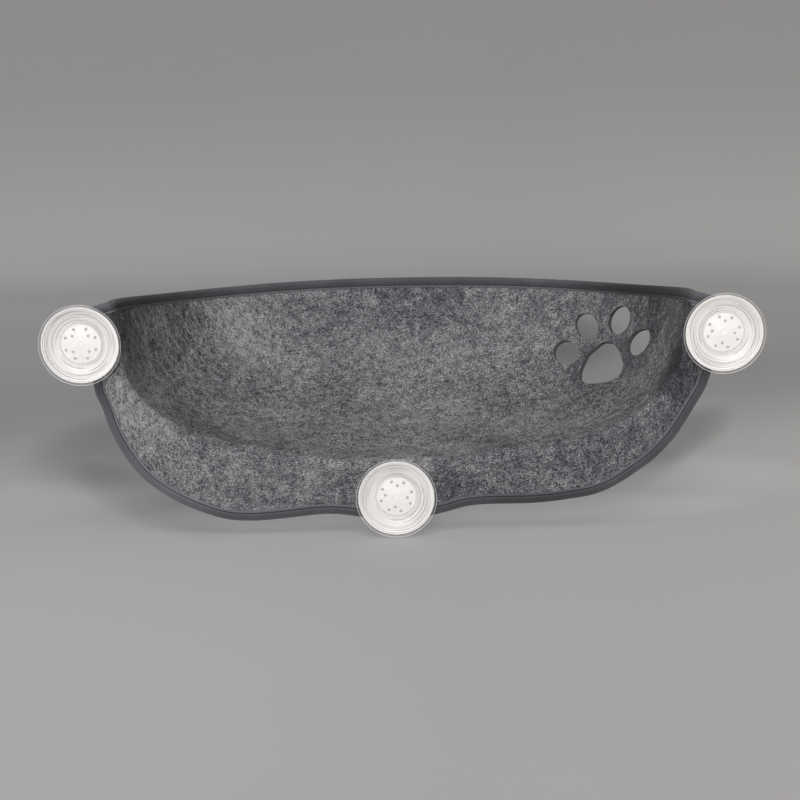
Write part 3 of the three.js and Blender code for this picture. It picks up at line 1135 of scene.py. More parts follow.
@dataclass
class FeltShell:
    """The moulded felt: a flange that lies towards the pane and a half bowl behind it."""

    form: BedForm
    columns: int = 360
    flange_rows: int = 13
    fold_rows: int = 9
    wall_rows: int = 66
    fold_radius: float = 7
    fold_soft: float = 13
    soft_span: Pair = (90, 190)
    tucked: float = 0.8
    ear_fold: float = 50
    ear_outline: float = 128
    mound_height: float = 5.0
    mound_across: Pairs = ((-92, -66), (56, 80))
    mound_behind: Pairs = ((0, 10), (26, 74))
    mound_top: Pair = (-100, -70)
    faded_rows: Pairs = ((1, 5), (-9, -3))
    faded_columns: Pair = (6, 26)
    neck_hole: float = 8.3
    paw_size: float = 100
    plug_excess: float = 8
    paw_across: float = 0.742
    paw_under: float = 0.535
    toes: Rows = (
        (-0.367, 0.041, 0.117, 0.132, 21),
        (-0.114, 0.288, 0.114, 0.141, -7),
        (0.248, 0.305, 0.122, 0.177, 29),
        (0.444, -0.04, 0.146, 0.186, 56),
    )
    heel: Pairs = (
        (-0.019, 0.08),
        (0.068, 0.074),
        (0.14, 0.012),
        (0.173, -0.118),
        (0.17, -0.26),
        (0.097, -0.363),
        (-0.024, -0.397),
        (-0.15, -0.375),
        (-0.26, -0.342),
        (-0.312, -0.268),
        (-0.268, -0.141),
        (-0.15, 0.01),
    )

    def _columns_across(self) -> np.ndarray:
        """Where the columns stand, evenly spaced on the felt.

        Returns:
            Their places from 0 to 1 across.
        """
        fine = np.linspace(0, 1, 4001)
        fold = lengths_along(self.form.fold(fine))
        rim = lengths_along(self.form.wall(fine, self.form.rim_under(fine, 0), 0))
        both = fold / fold[-1] + rim / rim[-1]
        return np.interp(np.linspace(0, both[-1], self.columns + 1), both, fine)

    def _edge_of_column(self, across: np.ndarray) -> np.ndarray:
        """The point of the outline that each column starts at.

        Args:
            across: The columns' places.

        Returns:
            The points as x and z.
        """
        line = self.form.outline()
        line = line + self.form.inward(line) * self.tucked
        out_length = lengths_along(line)
        fold_length = lengths_along(self.form.fold(across))
        total_fold, total_out = fold_length[-1], out_length[-1]
        knots = [0, self.ear_fold, total_fold - self.ear_fold, total_fold]
        wanted = [0, self.ear_outline, total_out - self.ear_outline, total_out]
        matched = np.interp(fold_length, knots, wanted)
        matched = soften(matched[:, None], 9.0, closed=False)[:, 0]
        return read_at(matched, out_length, line)

    def _fold_radii(self, across: np.ndarray) -> np.ndarray:
        """Radius of the fold along it, small at the corners and softer under the bowl."""
        length = lengths_along(self.form.fold(across))
        near = np.minimum(length, length[-1] - length)
        wide = self.fold_radius + (self.fold_soft - self.fold_radius) * _step(near, *self.soft_span)
        return np.minimum(wide, 0.45 * near + 0.01)

    def sheet(self) -> tuple[np.ndarray, np.ndarray]:
        """Points of the inner face and their places on the flat cloth.

        Returns:
            Points (column, row, 3) in millimetres, and flat places (column, row, 2).
        """
        form = self.form
        across = self._columns_across()
        edge = self._edge_of_column(across)
        radius = self._fold_radii(across)
        fold = form.fold(across)[:, [0, 2]]
        outward = -form.inward(fold)
        brow = fold + outward * radius[:, None]
        rows = []
        for t in np.linspace(0, 1, self.flange_rows, endpoint=False):
            rows.append(upright(edge + (brow - edge) * t, form.flange_front))
        top = form.rim_under(across, self.tucked)
        for t in np.linspace(0, 1, self.fold_rows, endpoint=False):
            turn = t * math.pi / 2
            under = self._under_at(across, top, radius * (1 - math.cos(turn)))
            shift = (radius - radius * math.sin(turn))[:, None] * outward
            rows.append(form.wall(across, under, 0) + upright(shift))
        first = self._under_at(across, top, radius)
        for t in np.linspace(0, 1, self.wall_rows + 1):
            rows.append(form.wall(across, first + (top - first) * t, 0))
        points = np.stack(rows, axis=1)
        points[0, :] = points[0, 0]
        points[-1, :] = points[-1, 0]
        points = points + self._relief(points)
        return points, self._flat_places(points)

    def _under_at(self, across: np.ndarray, top: np.ndarray, depth: np.ndarray) -> np.ndarray:
        """Where the wall lies a given depth behind the flange's face.

        Args:
            across: The columns' places.
            top: The place under at the rim, which is the most it can be.
            depth: The depth, in millimetres.

        Returns:
            The share under.
        """

        def behind(under: np.ndarray) -> np.ndarray:
            """Which places are deep enough."""
            return self.form.wall(across, under, 0)[:, 1] - self.form.flange_front > depth

        return halved(behind, 0 * across, top)

    def _relief(self, points: np.ndarray) -> np.ndarray:
        """Slow dents and swells that moulding and the cups' pull leave in the felt.

        Args:
            points: The even sheet.

        Returns:
            How far each point moves.
        """
        normals = unit(np.cross(np.gradient(points, axis=1), np.gradient(points, axis=0) + 1e-9))
        x, y, z = points[..., 0], points[..., 1], points[..., 2]
        behind = y - self.form.flange_front
        mound = self.mound_height * _hill(x, *self.mound_across) * _hill(behind, *self.mound_behind)
        mound = mound * (1 - _step(z, *self.mound_top))
        waves = 0.7 * np.sin(x / 31 + 0.6) * np.sin((y - z) / 27 + 1.1)
        waves += 0.5 * np.sin(x / 17 - 1.3 + y / 40) * np.sin(z / 21 + y / 33)
        rows = np.arange(points.shape[1])
        up, down = self.faded_rows
        edge_fade = _hill(rows, up, (len(rows) + down[0], len(rows) + down[1]))
        columns = np.arange(points.shape[0])
        ends = np.minimum(columns, columns[::-1])
        fade = edge_fade[None, :] * _step(ends, *self.faded_columns)[:, None]
        return normals * ((mound + waves) * fade)[..., None]

    @staticmethod
    def _flat_places(points: np.ndarray) -> np.ndarray:
        """Lays the sheet's points out flat, true to length along the fold and down each column.

        Args:
            points: The sheet.

        Returns:
            The flat places, in millimetres.
        """
        steps = np.linalg.norm(np.diff(points, axis=1), axis=2)
        down = np.concatenate([np.zeros((len(points), 1)), np.cumsum(steps, axis=1)], axis=1)
        middle = points.shape[1] * 2 // 3
        sideways = lengths_along(points[:, middle])
        return np.stack(np.broadcast_arrays(sideways[:, None], down), axis=-1)

    def _plug(self, outline: np.ndarray) -> Piece:
        """A solid that cuts one opening of the paw.

        Args:
            outline: Points on the felt, right and up from the middle of the paw, as shares.

        Returns:
            The solid.
        """
        form = self.form
        middle = form.wall(self.paw_across, self.paw_under, 0)
        step = 0.02
        wide = np.linalg.norm(form.wall(self.paw_across + step, self.paw_under, 0) - middle) / step
        high = np.linalg.norm(form.wall(self.paw_across, self.paw_under + step, 0) - middle) / step
        across = self.paw_across + outline[:, 0] * self.paw_size / wide
        under = self.paw_under + outline[:, 1] * self.paw_size / high
        clear_selection()
        size = {"radius": self.paw_size * MM / 4, "depth": 20 * MM}
        bpy.ops.mesh.primitive_cylinder_add(vertices=len(outline), **size)
        plug = new_piece("paw_cutter")
        places = places_of(plug)
        top = places[:, 2] > 0
        places[~top] = form.wall(across, under, -self.plug_excess) * MM
        places[top] = form.wall(across, under, form.thickness + self.plug_excess) * MM
        move_points(plug, places)
        edit(plug, face_out)
        return plug

    def _cut_paw(self, felt: Piece) -> None:
        """Cuts the toes and the heel of the paw through the felt.

        Args:
            felt: The felt.
        """
        for right, up, half_width, half_height, lean in self.toes:
            angles = np.linspace(0, 2 * math.pi, 56, endpoint=False)
            oval = np.stack([half_width * np.cos(angles), half_height * np.sin(angles)], axis=1)
            turn = math.radians(lean)
            leaning = np.array([[math.cos(turn), -math.sin(turn)], [math.sin(turn), math.cos(turn)]])
            cut_away(felt, self._plug(oval @ leaning + (right, up)))
        ring = [*self.heel[-2:], *self.heel, *self.heel[:2]]
        cut_away(felt, self._plug(np.array(curve_through(ring, 8))[16:-17]))

    def _cut_cup_holes(self, felt: Piece, centres: Sequence[Pair]) -> None:
        """Cuts the holes that the cups' necks pass through, at centres given as x and z."""
        for x, z in centres:
            cut_away(felt, drum("neck_cutter", (self.neck_hole, 30), (x, self.form.flange_front, z), 48))

    def build(self, finish: Finish, centres: Sequence[Pair]) -> Piece:
        """Makes the felt.

        Args:
            finish: Its material.
            centres: The cups' centres as x and z, in millimetres.

        Returns:
            The felt.
        """
        points, flat = self.sheet()
        columns, rows = points.shape[0] - 1, points.shape[1] - 1
        clear_selection()
        bpy.ops.mesh.primitive_grid_add(x_subdivisions=columns, y_subdivisions=rows, size=1)
        felt = new_piece("felt")
        column, row = grid_rows(felt, columns, rows)
        lay_flat(felt, flat[column, row] * MM)
        move_points(felt, points[column, row] * MM)
        edit(felt, weld(0.01 * MM), face_out)
        self._face_the_pane(felt)
        thick = self.form.thickness * MM
        apply_modifier(felt, "SOLIDIFY", thickness=thick, offset=-1.0, use_even_offset=False)
        self._cut_cup_holes(felt, centres)
        self._cut_paw(felt)
        smooth(felt, 50)
        dress(felt, finish)
        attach(felt, "bed")
        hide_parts("felt_shell")
        return felt

    @staticmethod
    def _face_the_pane(felt: Piece) -> None:
        """Turns the open sheet so that its front looks towards the pane.

        Args:
            felt: The sheet, before it has a thickness.
        """
        flat = np.zeros(len(felt.data.polygons) * 3)
        felt.data.polygons.foreach_get("normal", flat)
        if flat.reshape(-1, 3)[:, 1].sum() > 0:
            edit(felt, bpy.ops.mesh.flip_normals)


def _step(values: np.ndarray, low: float, high: float) -> np.ndarray:
    """Rises smoothly from 0 at low to 1 at high."""
    share = np.clip((np.asarray(values, float) - low) / (high - low), 0, 1)
    return share * share * (3 - 2 * share)


def _hill(values: np.ndarray, up: Pair, down: Pair) -> np.ndarray:
    """Rises smoothly over one span of values and falls over another."""
    return _step(values, *up) * (1 - _step(values, *down))


@dataclass
class EdgeLine:
    """The closed line that the tape runs along, with the felt's directions at each point."""

    form: BedForm
    spacing: float = 1.7
    corner_reach: float = 2.6
    places: np.ndarray = field(init=False)
    inward: np.ndarray = field(init=False)
    normal: np.ndarray = field(init=False)

    def __post_init__(self) -> None:
        """Works the line out from the felt's form."""
        form = self.form
        half = form.thickness / 2
        line = form.outline()
        places = [upright(line, form.flange_front + half)]
        inward = [upright(form.inward(line))]
        normal = [np.tile([0.0, -1.0, 0.0], (len(line), 1))]
        fine = np.linspace(1, 0, 3001)[8:-8]
        wall = form.wall(fine, form.rim_under(fine, 0), half)
        rim = even(np.concatenate([fine[:, None], wall], axis=1), 700)
        order = np.argsort(wall[:, 0])
        across = np.interp(rim[:, 1], wall[order, 0], fine[order])
        under = form.rim_under(across, 0)
        top = form.wall(across, under, half)
        places.append(top)
        inward.append(unit(form.wall(across, under - 0.01, half) - top))
        normal.append(unit(form.wall(across, under, 0) - form.wall(across, under, form.thickness)))
        self._join(np.concatenate(places), np.concatenate(inward), np.concatenate(normal))

    def _join(self, places: np.ndarray, inward: np.ndarray, normal: np.ndarray) -> None:
        """Spaces the points evenly and rounds the two corners.

        Args:
            places: The points, in millimetres.
            inward: Directions into the sheet.
            normal: Directions out of its inner face.
        """
        lengths = lengths_along(looped(places))
        wanted = np.linspace(0, lengths[-1], int(lengths[-1] / self.spacing), endpoint=False)
        reach = self.corner_reach / self.spacing
        self.places, into, up = (
            soften(read_at(wanted, lengths, looped(rows)), reach, closed=True)
            for rows in (places, inward, normal)
        )
        ahead = unit(np.roll(self.places, -1, axis=0) - np.roll(self.places, 1, axis=0))
        self.inward = unit(into - ahead * (into * ahead).sum(axis=1, keepdims=True))
        square = np.cross(ahead, self.inward)
        self.normal = square * np.sign((square * up).sum(axis=1, keepdims=True))


@dataclass
class EdgeTape:
    """The woven tape that is folded over the felt's edge."""

    line: EdgeLine
    outside: Pairs = (
        (9.0, 2.45),
        (9.0, 3.0),
        (8.2, 3.35),
        (7.2, 3.3),
        (6.4, 2.8),
        (5.6, 3.3),
        (3.4, 3.55),
        (0.9, 3.3),
        (-0.6, 2.3),
        (-1.1, 0.9),
    )
    inside: Pairs = ((0.3, 2.3), (4.5, 2.4))

    def _section(self) -> np.ndarray:
        """The closed outline: inwards and out from the felt's middle, both sides alike."""
        outside, inside = np.array(self.outside), np.array(self.inside)
        return np.concatenate([outside, outside[::-1] * (1, -1), inside[::-1] * (1, -1), inside])

    def build(self, finish: Finish) -> Piece:
        """Makes the tape.

        Args:
            finish: Its material.

        Returns:
            The tape.
        """
        section = self._section()
        count, around = len(self.line.places), len(section)
        clear_selection()
        bpy.ops.mesh.primitive_grid_add(x_subdivisions=count, y_subdivisions=around, size=1)
        tape = new_piece("tape")
        station, point = grid_rows(tape, count, around)
        shape = section[point % around]
        at = station % count
        line = self.line
        places = line.places[at] + line.inward[at] * shape[:, :1] + line.normal[at] * shape[:, 1:]
        lengths = lengths_along(looped(line.places)) * MM
        widths = lengths_along(looped(section)) * MM
        lay_flat(tape, np.stack([lengths[station], widths[point]], axis=1))
        move_points(tape, places * MM)
        edit(tape, weld(), face_out)
        smooth(tape, 50)
        dress(tape, finish)
        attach(tape, "bed")
        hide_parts("edge_binding")
        return tape


@dataclass
class StitchRow:
    """One row of lockstitches through the tape."""

    line: EdgeLine
    name: str
    face: int
    inset: float = 6.4
    height: float = 3.0
    pitch: float = 3.2
    length: float = 2.5
    radius: float = 0.36
    flatness: float = 0.8

    def build(self, finish: Finish) -> Piece:
        """Makes the row.

        Args:
            finish: Its material.

        Returns:
            The row as one piece.
        """
        clear_selection()
        bpy.ops.mesh.primitive_uv_sphere_add(segments=8, ring_count=5, radius=self.radius * MM)
        row = new_piece(self.name)
        stretch = (self.length / (2 * self.radius), 1, self.flatness)
        edit(row, lambda: bpy.ops.transform.resize(value=stretch))
        line = self.line
        places = line.places + line.inward * self.inset + line.normal * self.face * self.height
        lengths = lengths_along(looped(places))
        count = int(lengths[-1] / self.pitch)
        wanted = (np.arange(count) + 0.5) * lengths[-1] / count
        centre = read_at(wanted, lengths, looped(places))
        ahead = unit(np.gradient(centre, axis=0))
        up = unit(read_at(wanted, lengths, looped(line.normal) * self.face))
        aside = unit(np.cross(up, ahead))
        self._repeat(row, centre * MM, np.stack([ahead, aside, np.cross(ahead, aside)], axis=1))
        smooth(row, 80)
        dress(row, finish)
        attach(row, "bed")
        return row

    @staticmethod
    def _repeat(piece: Piece, centres: np.ndarray, axes: np.ndarray) -> None:
        """Copies the piece's mesh to each place, as one mesh.

        Args:
            piece: The object that holds one copy and gets them all.
            centres: Where the copies go.
            axes: The three directions of each copy, in rows.
        """
        one = places_of(piece)
        faces = [list(face.vertices) for face in piece.data.polygons]
        every = np.einsum("vk,ckj->cvj", one, axes) + centres[:, None]
        all_faces = [
            [index + copy * len(one) for index in face] for copy in range(len(centres)) for face in faces
        ]
        mesh = bpy.data.meshes.new(piece.name)
        mesh.from_pydata(every.reshape(-1, 3).tolist(), [], all_faces)
        mesh.update()
        piece.data = mesh


# The suction cups


@dataclass(frozen=True)
class CupPlace:
    """Where one cup sits and how it is turned."""

    prefix: str
    x: float
    z: float
    turn: float

    def matrix(self) -> Matrix:
        """The move from the cup drawn at the origin to its place."""
        shift = Matrix.Translation((self.x * MM, 0, self.z * MM))
        return shift @ Matrix.Rotation(math.radians(self.turn), 4, "Y")


@dataclass
class SuctionCup:
    """One twist-lock suction cup, modelled once at the origin and copied to each place. Millimetres.

    The knob's rings are pairs of an inset and how far it is sunk. Each circle of holes in the disc has
    a radius, a count and a starting angle.
    """

    pad_radius: float = 37.5
    pad_rim: float = 4.5
    pad_skin: float = 1.8
    dome_height: float = 6
    ribs: Values = (31.6, 29.3, 26.2)
    rib_height: float = 0.55
    rib_width: float = 0.45
    disc_radius: float = 18.4
    disc_front: float = 8.1
    disc_back: float = 10.1
    hole_radius: float = 1.35
    circles: tuple[tuple[float, int, float], ...] = ((14.6, 8, 0), (10.3, 4, 22.5))
    stud_radius: float = 6
    stud_end: float = 33.4
    thread_pitch: float = 3.0
    thread_depth: float = 0.5
    dish_radius: float = 35.3
    dish_back: float = 15.2
    seat_radius: float = 12.5
    neck_radius: float = 8
    washer_radius: float = 12.5
    washer_span: Pair = (21.9, 24.4)
    knob_radius: float = 21
    knob_span: Pair = (24.7, 38.7)
    knob_taper: float = 0.045
    knob_rings: Pairs = ((2.6, 0), (0.9, 0.9), (4.6, 0), (0.9, -0.7))
    lobes: int = 6
    lobe_depth: float = 1.6
    lobe_span: Pair = (13, 19)
    bore_length: float = 24
    bore_room: float = 3.4
    gap: float = 0.3

    def _rib(self, radius: float) -> float:
        """How far the ribs on the pad's back stand out at a radius."""
        away = [(radius - at) / self.rib_width for at in self.ribs]
        return sum(self.rib_height * math.exp(-(part**2)) for part in away)

    def _pad(self) -> Piece:
        """The clear pad with its rings.

        Returns:
            The pad.
        """
        edge, disc, top, skin = self.pad_radius, self.disc_radius, self.dome_height, self.pad_skin
        rim = edge - self.pad_rim
        collar = disc + self.gap
        front = [(disc + (rim - disc) * share, top * (1 - share**2)) for share in np.linspace(0, 1, 19)]
        ribbed = [(radius, depth + skin + self._rib(radius)) for radius, depth in front[::-1]]
        profile = [
            (0, top),
            (disc - 1.2, top),
            *front,
            (rim + 0.5, 0.12),
            (rim + 1.0, 0),
            (edge - 0.7, 0),
            (edge - 0.2, 0.2),
            (edge, 0.7),
            (edge, 1.15),
            (edge - 0.25, 1.6),
            (edge - 0.8, skin),
            (edge - 2.4, skin),
            *ribbed,
            (collar + 0.4, top + skin + 0.15),
            (collar, top + skin),
            (0, top + skin),
        ]
        pad = turned("pad", profile, 128)
        smooth(pad, 50)
        return pad

    def _stud(self) -> Piece:
        """The white disc with its twelve holes, and the stud behind it.

        Returns:
            The disc and stud.
        """
        front, back, disc, stud = self.disc_front, self.disc_back, self.disc_radius, self.stud_radius
        groove = stud - self.thread_depth
        thread = []
        for depth in np.arange(back + 2.5, self.stud_end - 1, self.thread_pitch):
            thread += [(stud, depth), (groove, depth + 0.7), (groove, depth + 1.4), (stud, depth + 2.1)]
        profile = [
            (0, front + 0.12),
            (2.3, front + 0.12),
            (2.5, front - 0.05),
            (2.9, front - 0.05),
            (3.1, front),
            (disc - 0.5, front),
            (disc - 0.12, front + 0.15),
            (disc, front + 0.55),
            (disc, back - 0.4),
            (disc - 0.4, back),
            (stud + 1.2, back),
            (stud + 0.3, back + 0.3),
            (stud, back + 1.2),
            *thread,
            (stud, self.stud_end - 0.4),
            (stud - 0.5, self.stud_end),
            (0, self.stud_end),
        ]
        piece = turned("stud", profile, 96)
        for circle, count, start in self.circles:
            for i in range(count):
                angle = math.radians(start + i * 360 / count)
                cut_away(piece, self._pin(circle * math.sin(angle), circle * math.cos(angle)))
        smooth(piece, 35)
        return piece

    def _pin(self, x: float, z: float) -> Piece:
        """A tapered pin that cuts one hole of the disc.

        Args:
            x: Its place across.
            z: Its place up.

        Returns:
            The pin.
        """
        clear_selection()
        bpy.ops.mesh.primitive_cone_add(
            vertices=20,
            radius1=(self.hole_radius - 0.15) * MM,
            radius2=(self.hole_radius + 0.15) * MM,
            depth=3 * MM,
            location=(x * MM, (self.disc_front - 0.2) * MM, z * MM),
            rotation=(math.pi / 2, 0, 0),
        )
        return new_piece("hole_cutter")

    def _housing(self) -> Piece:
        """The white dish with its stepped inside, seat and neck.

        Returns:
            The dish.
        """
        r, seat, neck = self.dish_radius, self.seat_radius, self.neck_radius
        bore = self.stud_radius + self.gap
        back, end = self.dish_back, self.washer_span[1]
        outer = curve_through([(r, 3.2), (34.2, 6.0), (32.2, 9.0), (28.2, 12.4), (22.5, 14.9)], 5)
        inner = curve_through([(20.4, 11.5), (25.2, 10.7), (27.2, 10.0), (29.6, 8.9), (31.2, 7.4)], 4)
        profile = [
            (r - 1.3, 2.1),
            (r - 0.4, 2.1),
            (r - 0.05, 2.45),
            *outer,
            (21, back),
            (seat + 0.4, back),
            (seat, back + 0.4),
            (seat, 16.8),
            (neck + 0.3, 16.8),
            (neck, 17.1),
            (neck, end - 0.3),
            (neck - 0.4, end),
            (bore, end),
            (bore, back),
            (self.stud_radius + 1.9, 13.45),
            (18.8, 13.45),
            (18.9, 12.1),
            (19.5, 11.6),
            *inner,
            (31.3, 6.2),
            (32.3, 5.9),
            (32.6, 4.4),
            (33.7, 4.1),
            (33.8, 2.5),
        ]
        dish = turned("housing", profile, 128)
        smooth(dish, 32)
        return dish

    def _washer(self) -> Piece:
        """The flat washer behind the felt.

        Returns:
            The washer.
        """
        front, back = self.washer_span
        inner, outer = self.neck_radius + self.gap, self.washer_radius
        profile = [
            (inner, front),
            (outer - 0.3, front),
            (outer, front + 0.3),
            (outer, back - 0.7),
            (outer - 0.7, back),
            (inner + 0.3, back),
            (inner, back - 0.3),
        ]
        washer = turned("washer", profile, 64)
        smooth(washer, 35)
        return washer

    def _knob(self) -> Piece:
        """The lobed twist knob.

        Returns:
            The knob.
        """
        front, back = self.knob_span
        tall = back - front
        knob = drum("knob", (self.knob_radius, tall), (0, (front + back) / 2, 0), 144)
        bpy.ops.object.transform_apply(location=True, rotation=True, scale=True)
        select_only(knob, "FACE", lambda face: face.center.y > (back - 0.1) * MM)
        for thickness, sink in self.knob_rings:
            bpy.ops.mesh.inset(thickness=thickness * MM, depth=-sink * MM)
        bpy.ops.object.mode_set(mode="OBJECT")
        places = places_of(knob)
        angle = np.arctan2(places[:, 2], places[:, 0])
        radius = np.hypot(places[:, 0], places[:, 2])
        start, end = self.lobe_span
        share = np.clip((radius / MM - start) / (end - start), 0, 1)
        dip = self.lobe_depth * MM * (1 - np.cos(self.lobes * angle)) / 2 * share
        taper = 1 - self.knob_taper * (places[:, 1] / MM - front) / tall
        places[:, [0, 2]] *= ((radius - dip) / np.maximum(radius, 1e-9) * taper)[:, None]
        move_points(knob, places)
        limit = math.radians(50)
        apply_modifier(knob, "BEVEL", width=1.1 * MM, segments=4, limit_method="ANGLE", angle_limit=limit)
        bore_middle = self.stud_end + self.bore_room - self.bore_length / 2
        bore = (self.stud_radius + self.gap, self.bore_length)
        cut_away(knob, drum("bore_cutter", bore, (0, bore_middle, 0), 64))
        smooth(knob, 40)
        return knob

    def build(self, places: Sequence[CupPlace], finishes: dict[str, Finish]) -> list:
        """Makes all the cups.

        Args:
            places: Where they go.
            finishes: The materials by piece.

        Returns:
            The pieces.
        """
        masters = {
            "pad": self._pad(),
            "stud": self._stud(),
            "housing": self._housing(),
            "washer": self._washer(),
            "knob": self._knob(),
        }
        made = []
        for place in places:
            for part, master in masters.items():
                piece = master.copy()
                piece.data = master.data.copy()
                piece.name = f"{place.prefix}_cup_{part}"
                piece.data.name = piece.name
                bpy.context.scene.collection.objects.link(piece)
                piece.data.transform(place.matrix())
                self._join_to_bodies(piece, part, place)
                dress(piece, finishes[part])
                made.append(piece)
        for master in masters.values():
            bpy.data.objects.remove(master)
        return made

    @staticmethod
    def _join_to_bodies(piece: Piece, part: str, place: CupPlace) -> None:
        """Ties a piece to the CAD body it moves with, except the pad, whose place goes into its mesh, and
        hides the CAD part of the node it stands for.

        Args:
            piece: The piece.
            part: Which part of the cup it is.
            place: The cup's place.
        """
        node = {"pad": "sucker"}.get(part, part)
        if part == "pad":
            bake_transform(piece)
        elif part in ("stud", "knob"):
            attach(piece, f"{place.prefix}_{part}")
        else:
            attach(piece, "bed")
        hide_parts(f"{place.prefix}_{node}")


# The studio


@dataclass
class Studio:
    """Camera, backdrop and lamps. Metres."""

    aim: Triple = (-0.003, 0.0, -0.056)
    down: float = 14.0
    distance: float = 1.8
    frame_width: float = 0.7288
    roll: float = -1.07
    floor_height: float = -0.1885
    floor_width: float = 8.0
    floor_near: float = -4.0
    wall_height: float = 2.6
    sweep_start: float = 0.95
    sweep_radius: float = 0.55
    air_colour: Values = (0.93, 0.95, 1.0, 1)
    air_strength: float = 0.12
    glow_share: float = 0.35
    glow_strength: float = 1.42
    paper_start: float = -0.6
    paper_length: float = 2.6
    paper_side_light: float = 0.058
    side_light_span: Pair = (0.45, 0.6)
    tint_span: Pair = (-0.35, 0.45)
    cloud_weight: float = 0.03
    # Painted light and shade along the paper: lightest at the front, a darker band on the floor behind
    # the bed, darker again towards the top of the wall.
    paper_light_and_shade: Pairs = (
        (0.02, 171),
        (0.15, 169),
        (0.23, 167),
        (0.29, 164),
        (0.335, 160),
        (0.375, 150),
        (0.415, 140),
        (0.455, 135),
        (0.5, 137),
        (0.57, 141),
        (0.635, 138),
        (0.665, 134),
        (0.7, 143),
        (0.735, 144),
        (0.78, 140),
        (0.83, 134),
        (0.87, 130),
        (0.905, 127),
        (0.97, 127),
    )
    paper_tints: Rows = ((1.0, 0.983, 1.012, 1), (1.012, 0.995, 0.975, 1))
    # Painted shadows of the bed on the paper at its sides and seen through the paw's holes, and painted
    # light that thins the real shadow below it.
    painted_paper_shadows: Rows = (
        (-0.31, 0.33, 0, 0.115, 0.19, 0.3),
        (-0.26, 0.15, -0.55, 0.065, 0.16, 0.19),
        (-0.36, 0.15, 0, 0.11, 0.08, -0.07),
        (0.295, 0.34, 0.45, 0.06, 0.16, 0.32),
        (0.255, 0.22, 0.5, 0.035, 0.08, 0.16),
        (0.29, 0.18, 0, 0.16, 0.11, -0.13),
        (0.13, 0.09, 0, 0.24, 0.06, -0.26),
        (-0.13, 0.08, 0, 0.14, 0.055, -0.24),
        (-0.42, -0.35, 0, 0.5, 0.5, -0.07),
        (0.19, 0.86, 0, 0.14, 0.24, 0.4),
    )

    def camera(self) -> None:
        """Sets the camera where the photograph was taken from."""
        clear_selection()
        tilt = math.radians(self.down)
        back = Vector((0, -math.cos(tilt), math.sin(tilt)))
        bpy.ops.object.camera_add(location=Vector(self.aim) + back * self.distance)
        camera = bpy.context.object
        camera.name = "camera"
        camera.data.sensor_width = 36
        camera.data.lens = 36 * self.distance / self.frame_width
        camera.data.clip_end = 30
        facing = back.to_track_quat("Z", "Y").to_matrix().to_4x4()
        roll = Matrix.Rotation(math.radians(self.roll), 4, "Z")
        camera.matrix_world = Matrix.Translation(camera.location) @ facing @ roll
        bpy.context.scene.camera = camera

    def _paper(self) -> Finish:
        """The backdrop's material: grey paper with painted light and shade along it and painted shadows
        of the bed, partly glowing to the camera.

        Returns:
            The material.
        """
        graph = Graph("backdrop_paper")
        place = graph.place()
        across, depth, height = graph.parts(place)
        along = (depth + height - self.floor_height - self.paper_start) / self.paper_length
        # Painted light: over the floor's front part the paper is lighter to the right and darker to the
        # left.
        lean = self.paper_side_light * across * (1 - along.between(*self.side_light_span))
        cloud = graph.noise(place, 0.5)
        levels = [(at, grey(level, 1)) for at, level in self.paper_light_and_shade]
        base = graph.ramp(levels, along - lean + self.cloud_weight * (cloud - 0.5))
        tint = graph.mix(*self.paper_tints, across.between(*self.tint_span))
        colour = graph.mix(base, tint, 1.0, "MULTIPLY")
        light = 1 - self._painted_shadows(across, depth)
        spread = graph.node("ShaderNodeCombineColor", None, {0: light, 1: light, 2: light}).outputs[0]
        colour = graph.mix(colour, spread, 1.0, "MULTIPLY")
        surface = graph.surface({"Base Color": colour, "Roughness": 0.95, "Specular IOR Level": 0.1})
        sockets = {"Color": colour, "Strength": self.glow_strength}
        glow = graph.node("ShaderNodeEmission", None, sockets).outputs[0]
        path = graph.node("ShaderNodeLightPath").outputs
        seen = Number(graph, path["Is Camera Ray"])
        for kind in ("Glossy", "Transmission"):
            seen = seen.larger(path[f"Is {kind} Ray"])
        return graph.finish(graph.shader_mix(surface, glow, self.glow_share * seen))

    def _painted_shadows(self, across: Number, depth: Number) -> Number:
        """Adds up the painted shadows on the paper, and painted light where a gain is below 0: place,
        slant, width, depth and gain of each.

        Args:
            across: Place across.
            depth: Place in depth.

        Returns:
            How much darker the paper is.
        """
        total = 0.0
        for x, y, slant, wide, deep, gain in self.painted_paper_shadows:
            along = depth - y
            sideways = (across - x - slant * along) / wide
            off = sideways * sideways + (along / deep) * (along / deep)
            total = total + gain * (1 - off.between(0.0, 1.0))
        return total

    def backdrop(self) -> None:
        """Makes a floor that sweeps up into a wall."""
        clear_selection()
        middle = (self.sweep_start + self.floor_near) / 2
        bpy.ops.mesh.primitive_plane_add(size=1, location=(0, middle, self.floor_height))
        paper = new_piece("backdrop")
        paper.scale = (self.floor_width, self.sweep_start - self.floor_near, 1)
        bpy.ops.object.transform_apply(location=True, rotation=True, scale=True)
        points = paper.data.vertices
        far = self.sweep_start - 0.01
        select_only(paper, "EDGE", lambda edge: min(points[i].co.y for i in edge.vertices) > far)
        centre = (0, self.sweep_start, self.floor_height + self.sweep_radius)
        bpy.ops.mesh.spin(steps=32, angle=-math.pi / 2, center=centre, axis=(1, 0, 0))
        bpy.ops.mesh.extrude_region_move(TRANSFORM_OT_translate={"value": (0, 0, self.wall_height)})
        bpy.ops.object.mode_set(mode="OBJECT")
        smooth(paper, 30)
        paper.data.materials.append(self._paper())

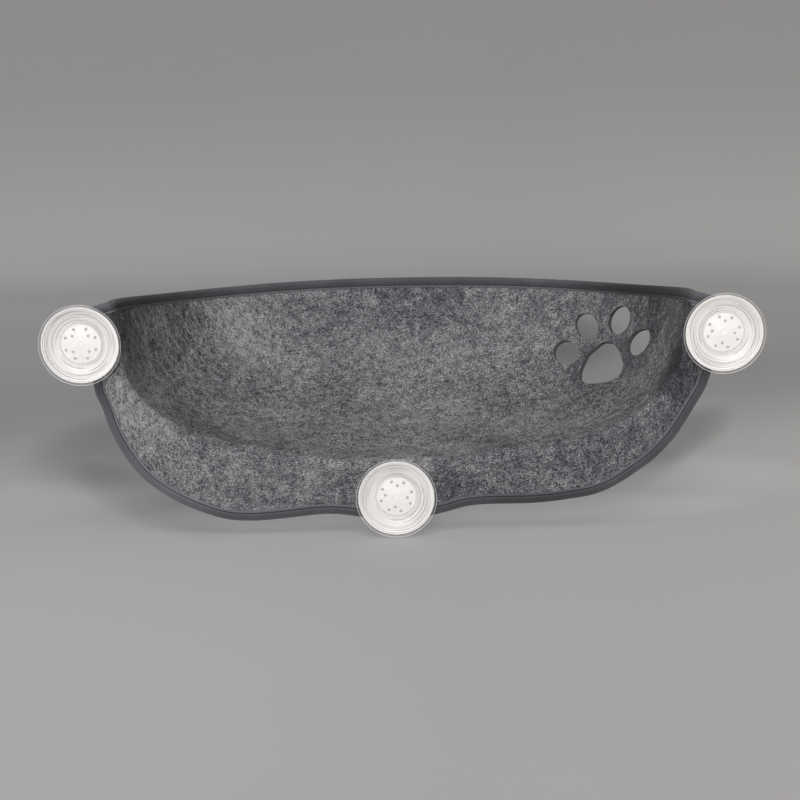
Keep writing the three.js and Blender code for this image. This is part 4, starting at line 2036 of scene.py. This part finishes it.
    @staticmethod
    def _sun(name: str, azimuth: float, height: float, spread: float, power: float) -> None:
        """Adds a far, wide and soft lamp.

        Args:
            name: Its name.
            azimuth: Where it stands, in degrees to the right of the camera's side.
            height: How high it stands, in degrees.
            spread: How wide it is, in degrees.
            power: Its strength.
        """
        clear_selection()
        bpy.ops.object.light_add(type="SUN")
        lamp = bpy.context.object
        lamp.name = name
        lamp.data.angle = math.radians(spread)
        lamp.data.energy = power
        round_, up = math.radians(azimuth), math.radians(height)
        source = Vector((math.sin(round_) * math.cos(up), -math.cos(round_) * math.cos(up), math.sin(up)))
        lamp.rotation_euler = source.to_track_quat("Z", "Y").to_euler()

    def lamps(self) -> None:
        """Lights the studio softly from above and in front."""
        self._sun("key_box", -4, 58, 40, 1.15)
        self._sun("front_box", -6, 16, 34, 2.3)
        world = bpy.data.worlds.new("studio_air")
        bpy.context.scene.world = world
        world.use_nodes = True
        background = world.node_tree.nodes["Background"].inputs
        background["Color"].default_value = self.air_colour
        background["Strength"].default_value = self.air_strength


def main() -> None:
    """Builds the studio and dresses the bed."""
    logging.basicConfig(level=logging.INFO, format="%(name)s: %(message)s")
    studio = Studio()
    studio.camera()
    studio.backdrop()
    studio.lamps()
    form = BedForm()
    places = [
        CupPlace("left", -form.cup_spacing, 0, 22.5),
        CupPlace("right", form.cup_spacing, 0, -16),
        CupPlace("lower", -form.lower_shift, -form.lower_drop, -16),
    ]
    centres = [(place.x, place.z) for place in places]
    line = EdgeLine(form)
    thread = Thread().build()
    finishes = {
        "pad": ClearVinyl().build(),
        "stud": WhitePlastic("disc_plastic", level=243, warm=11, rough=0.38).build(),
        "housing": WhitePlastic(
            "dish_plastic", level=247, warm=10, rough=0.28, tones=DISH_PAINTED_SHADE, facing_shade=0.32
        ).build(),
        "washer": WhitePlastic("washer_plastic", level=238, warm=4, rough=0.4).build(),
        "knob": WhitePlastic("knob_plastic", level=240, warm=4, rough=0.38).build(),
    }
    pieces = [
        FeltShell(form).build(MelangeFelt().build(), centres),
        EdgeTape(line).build(BindingTape().build()),
        StitchRow(line, "front_stitches", 1).build(thread),
        StitchRow(line, "back_stitches", -1).build(thread),
        *SuctionCup().build(places, finishes),
    ]
    for piece in pieces:
        log.info("%s: %d faces", piece.name, len(piece.data.polygons))
    bpy.context.scene.view_settings.view_transform = "Standard"


if __name__ == "__main__":
    main()
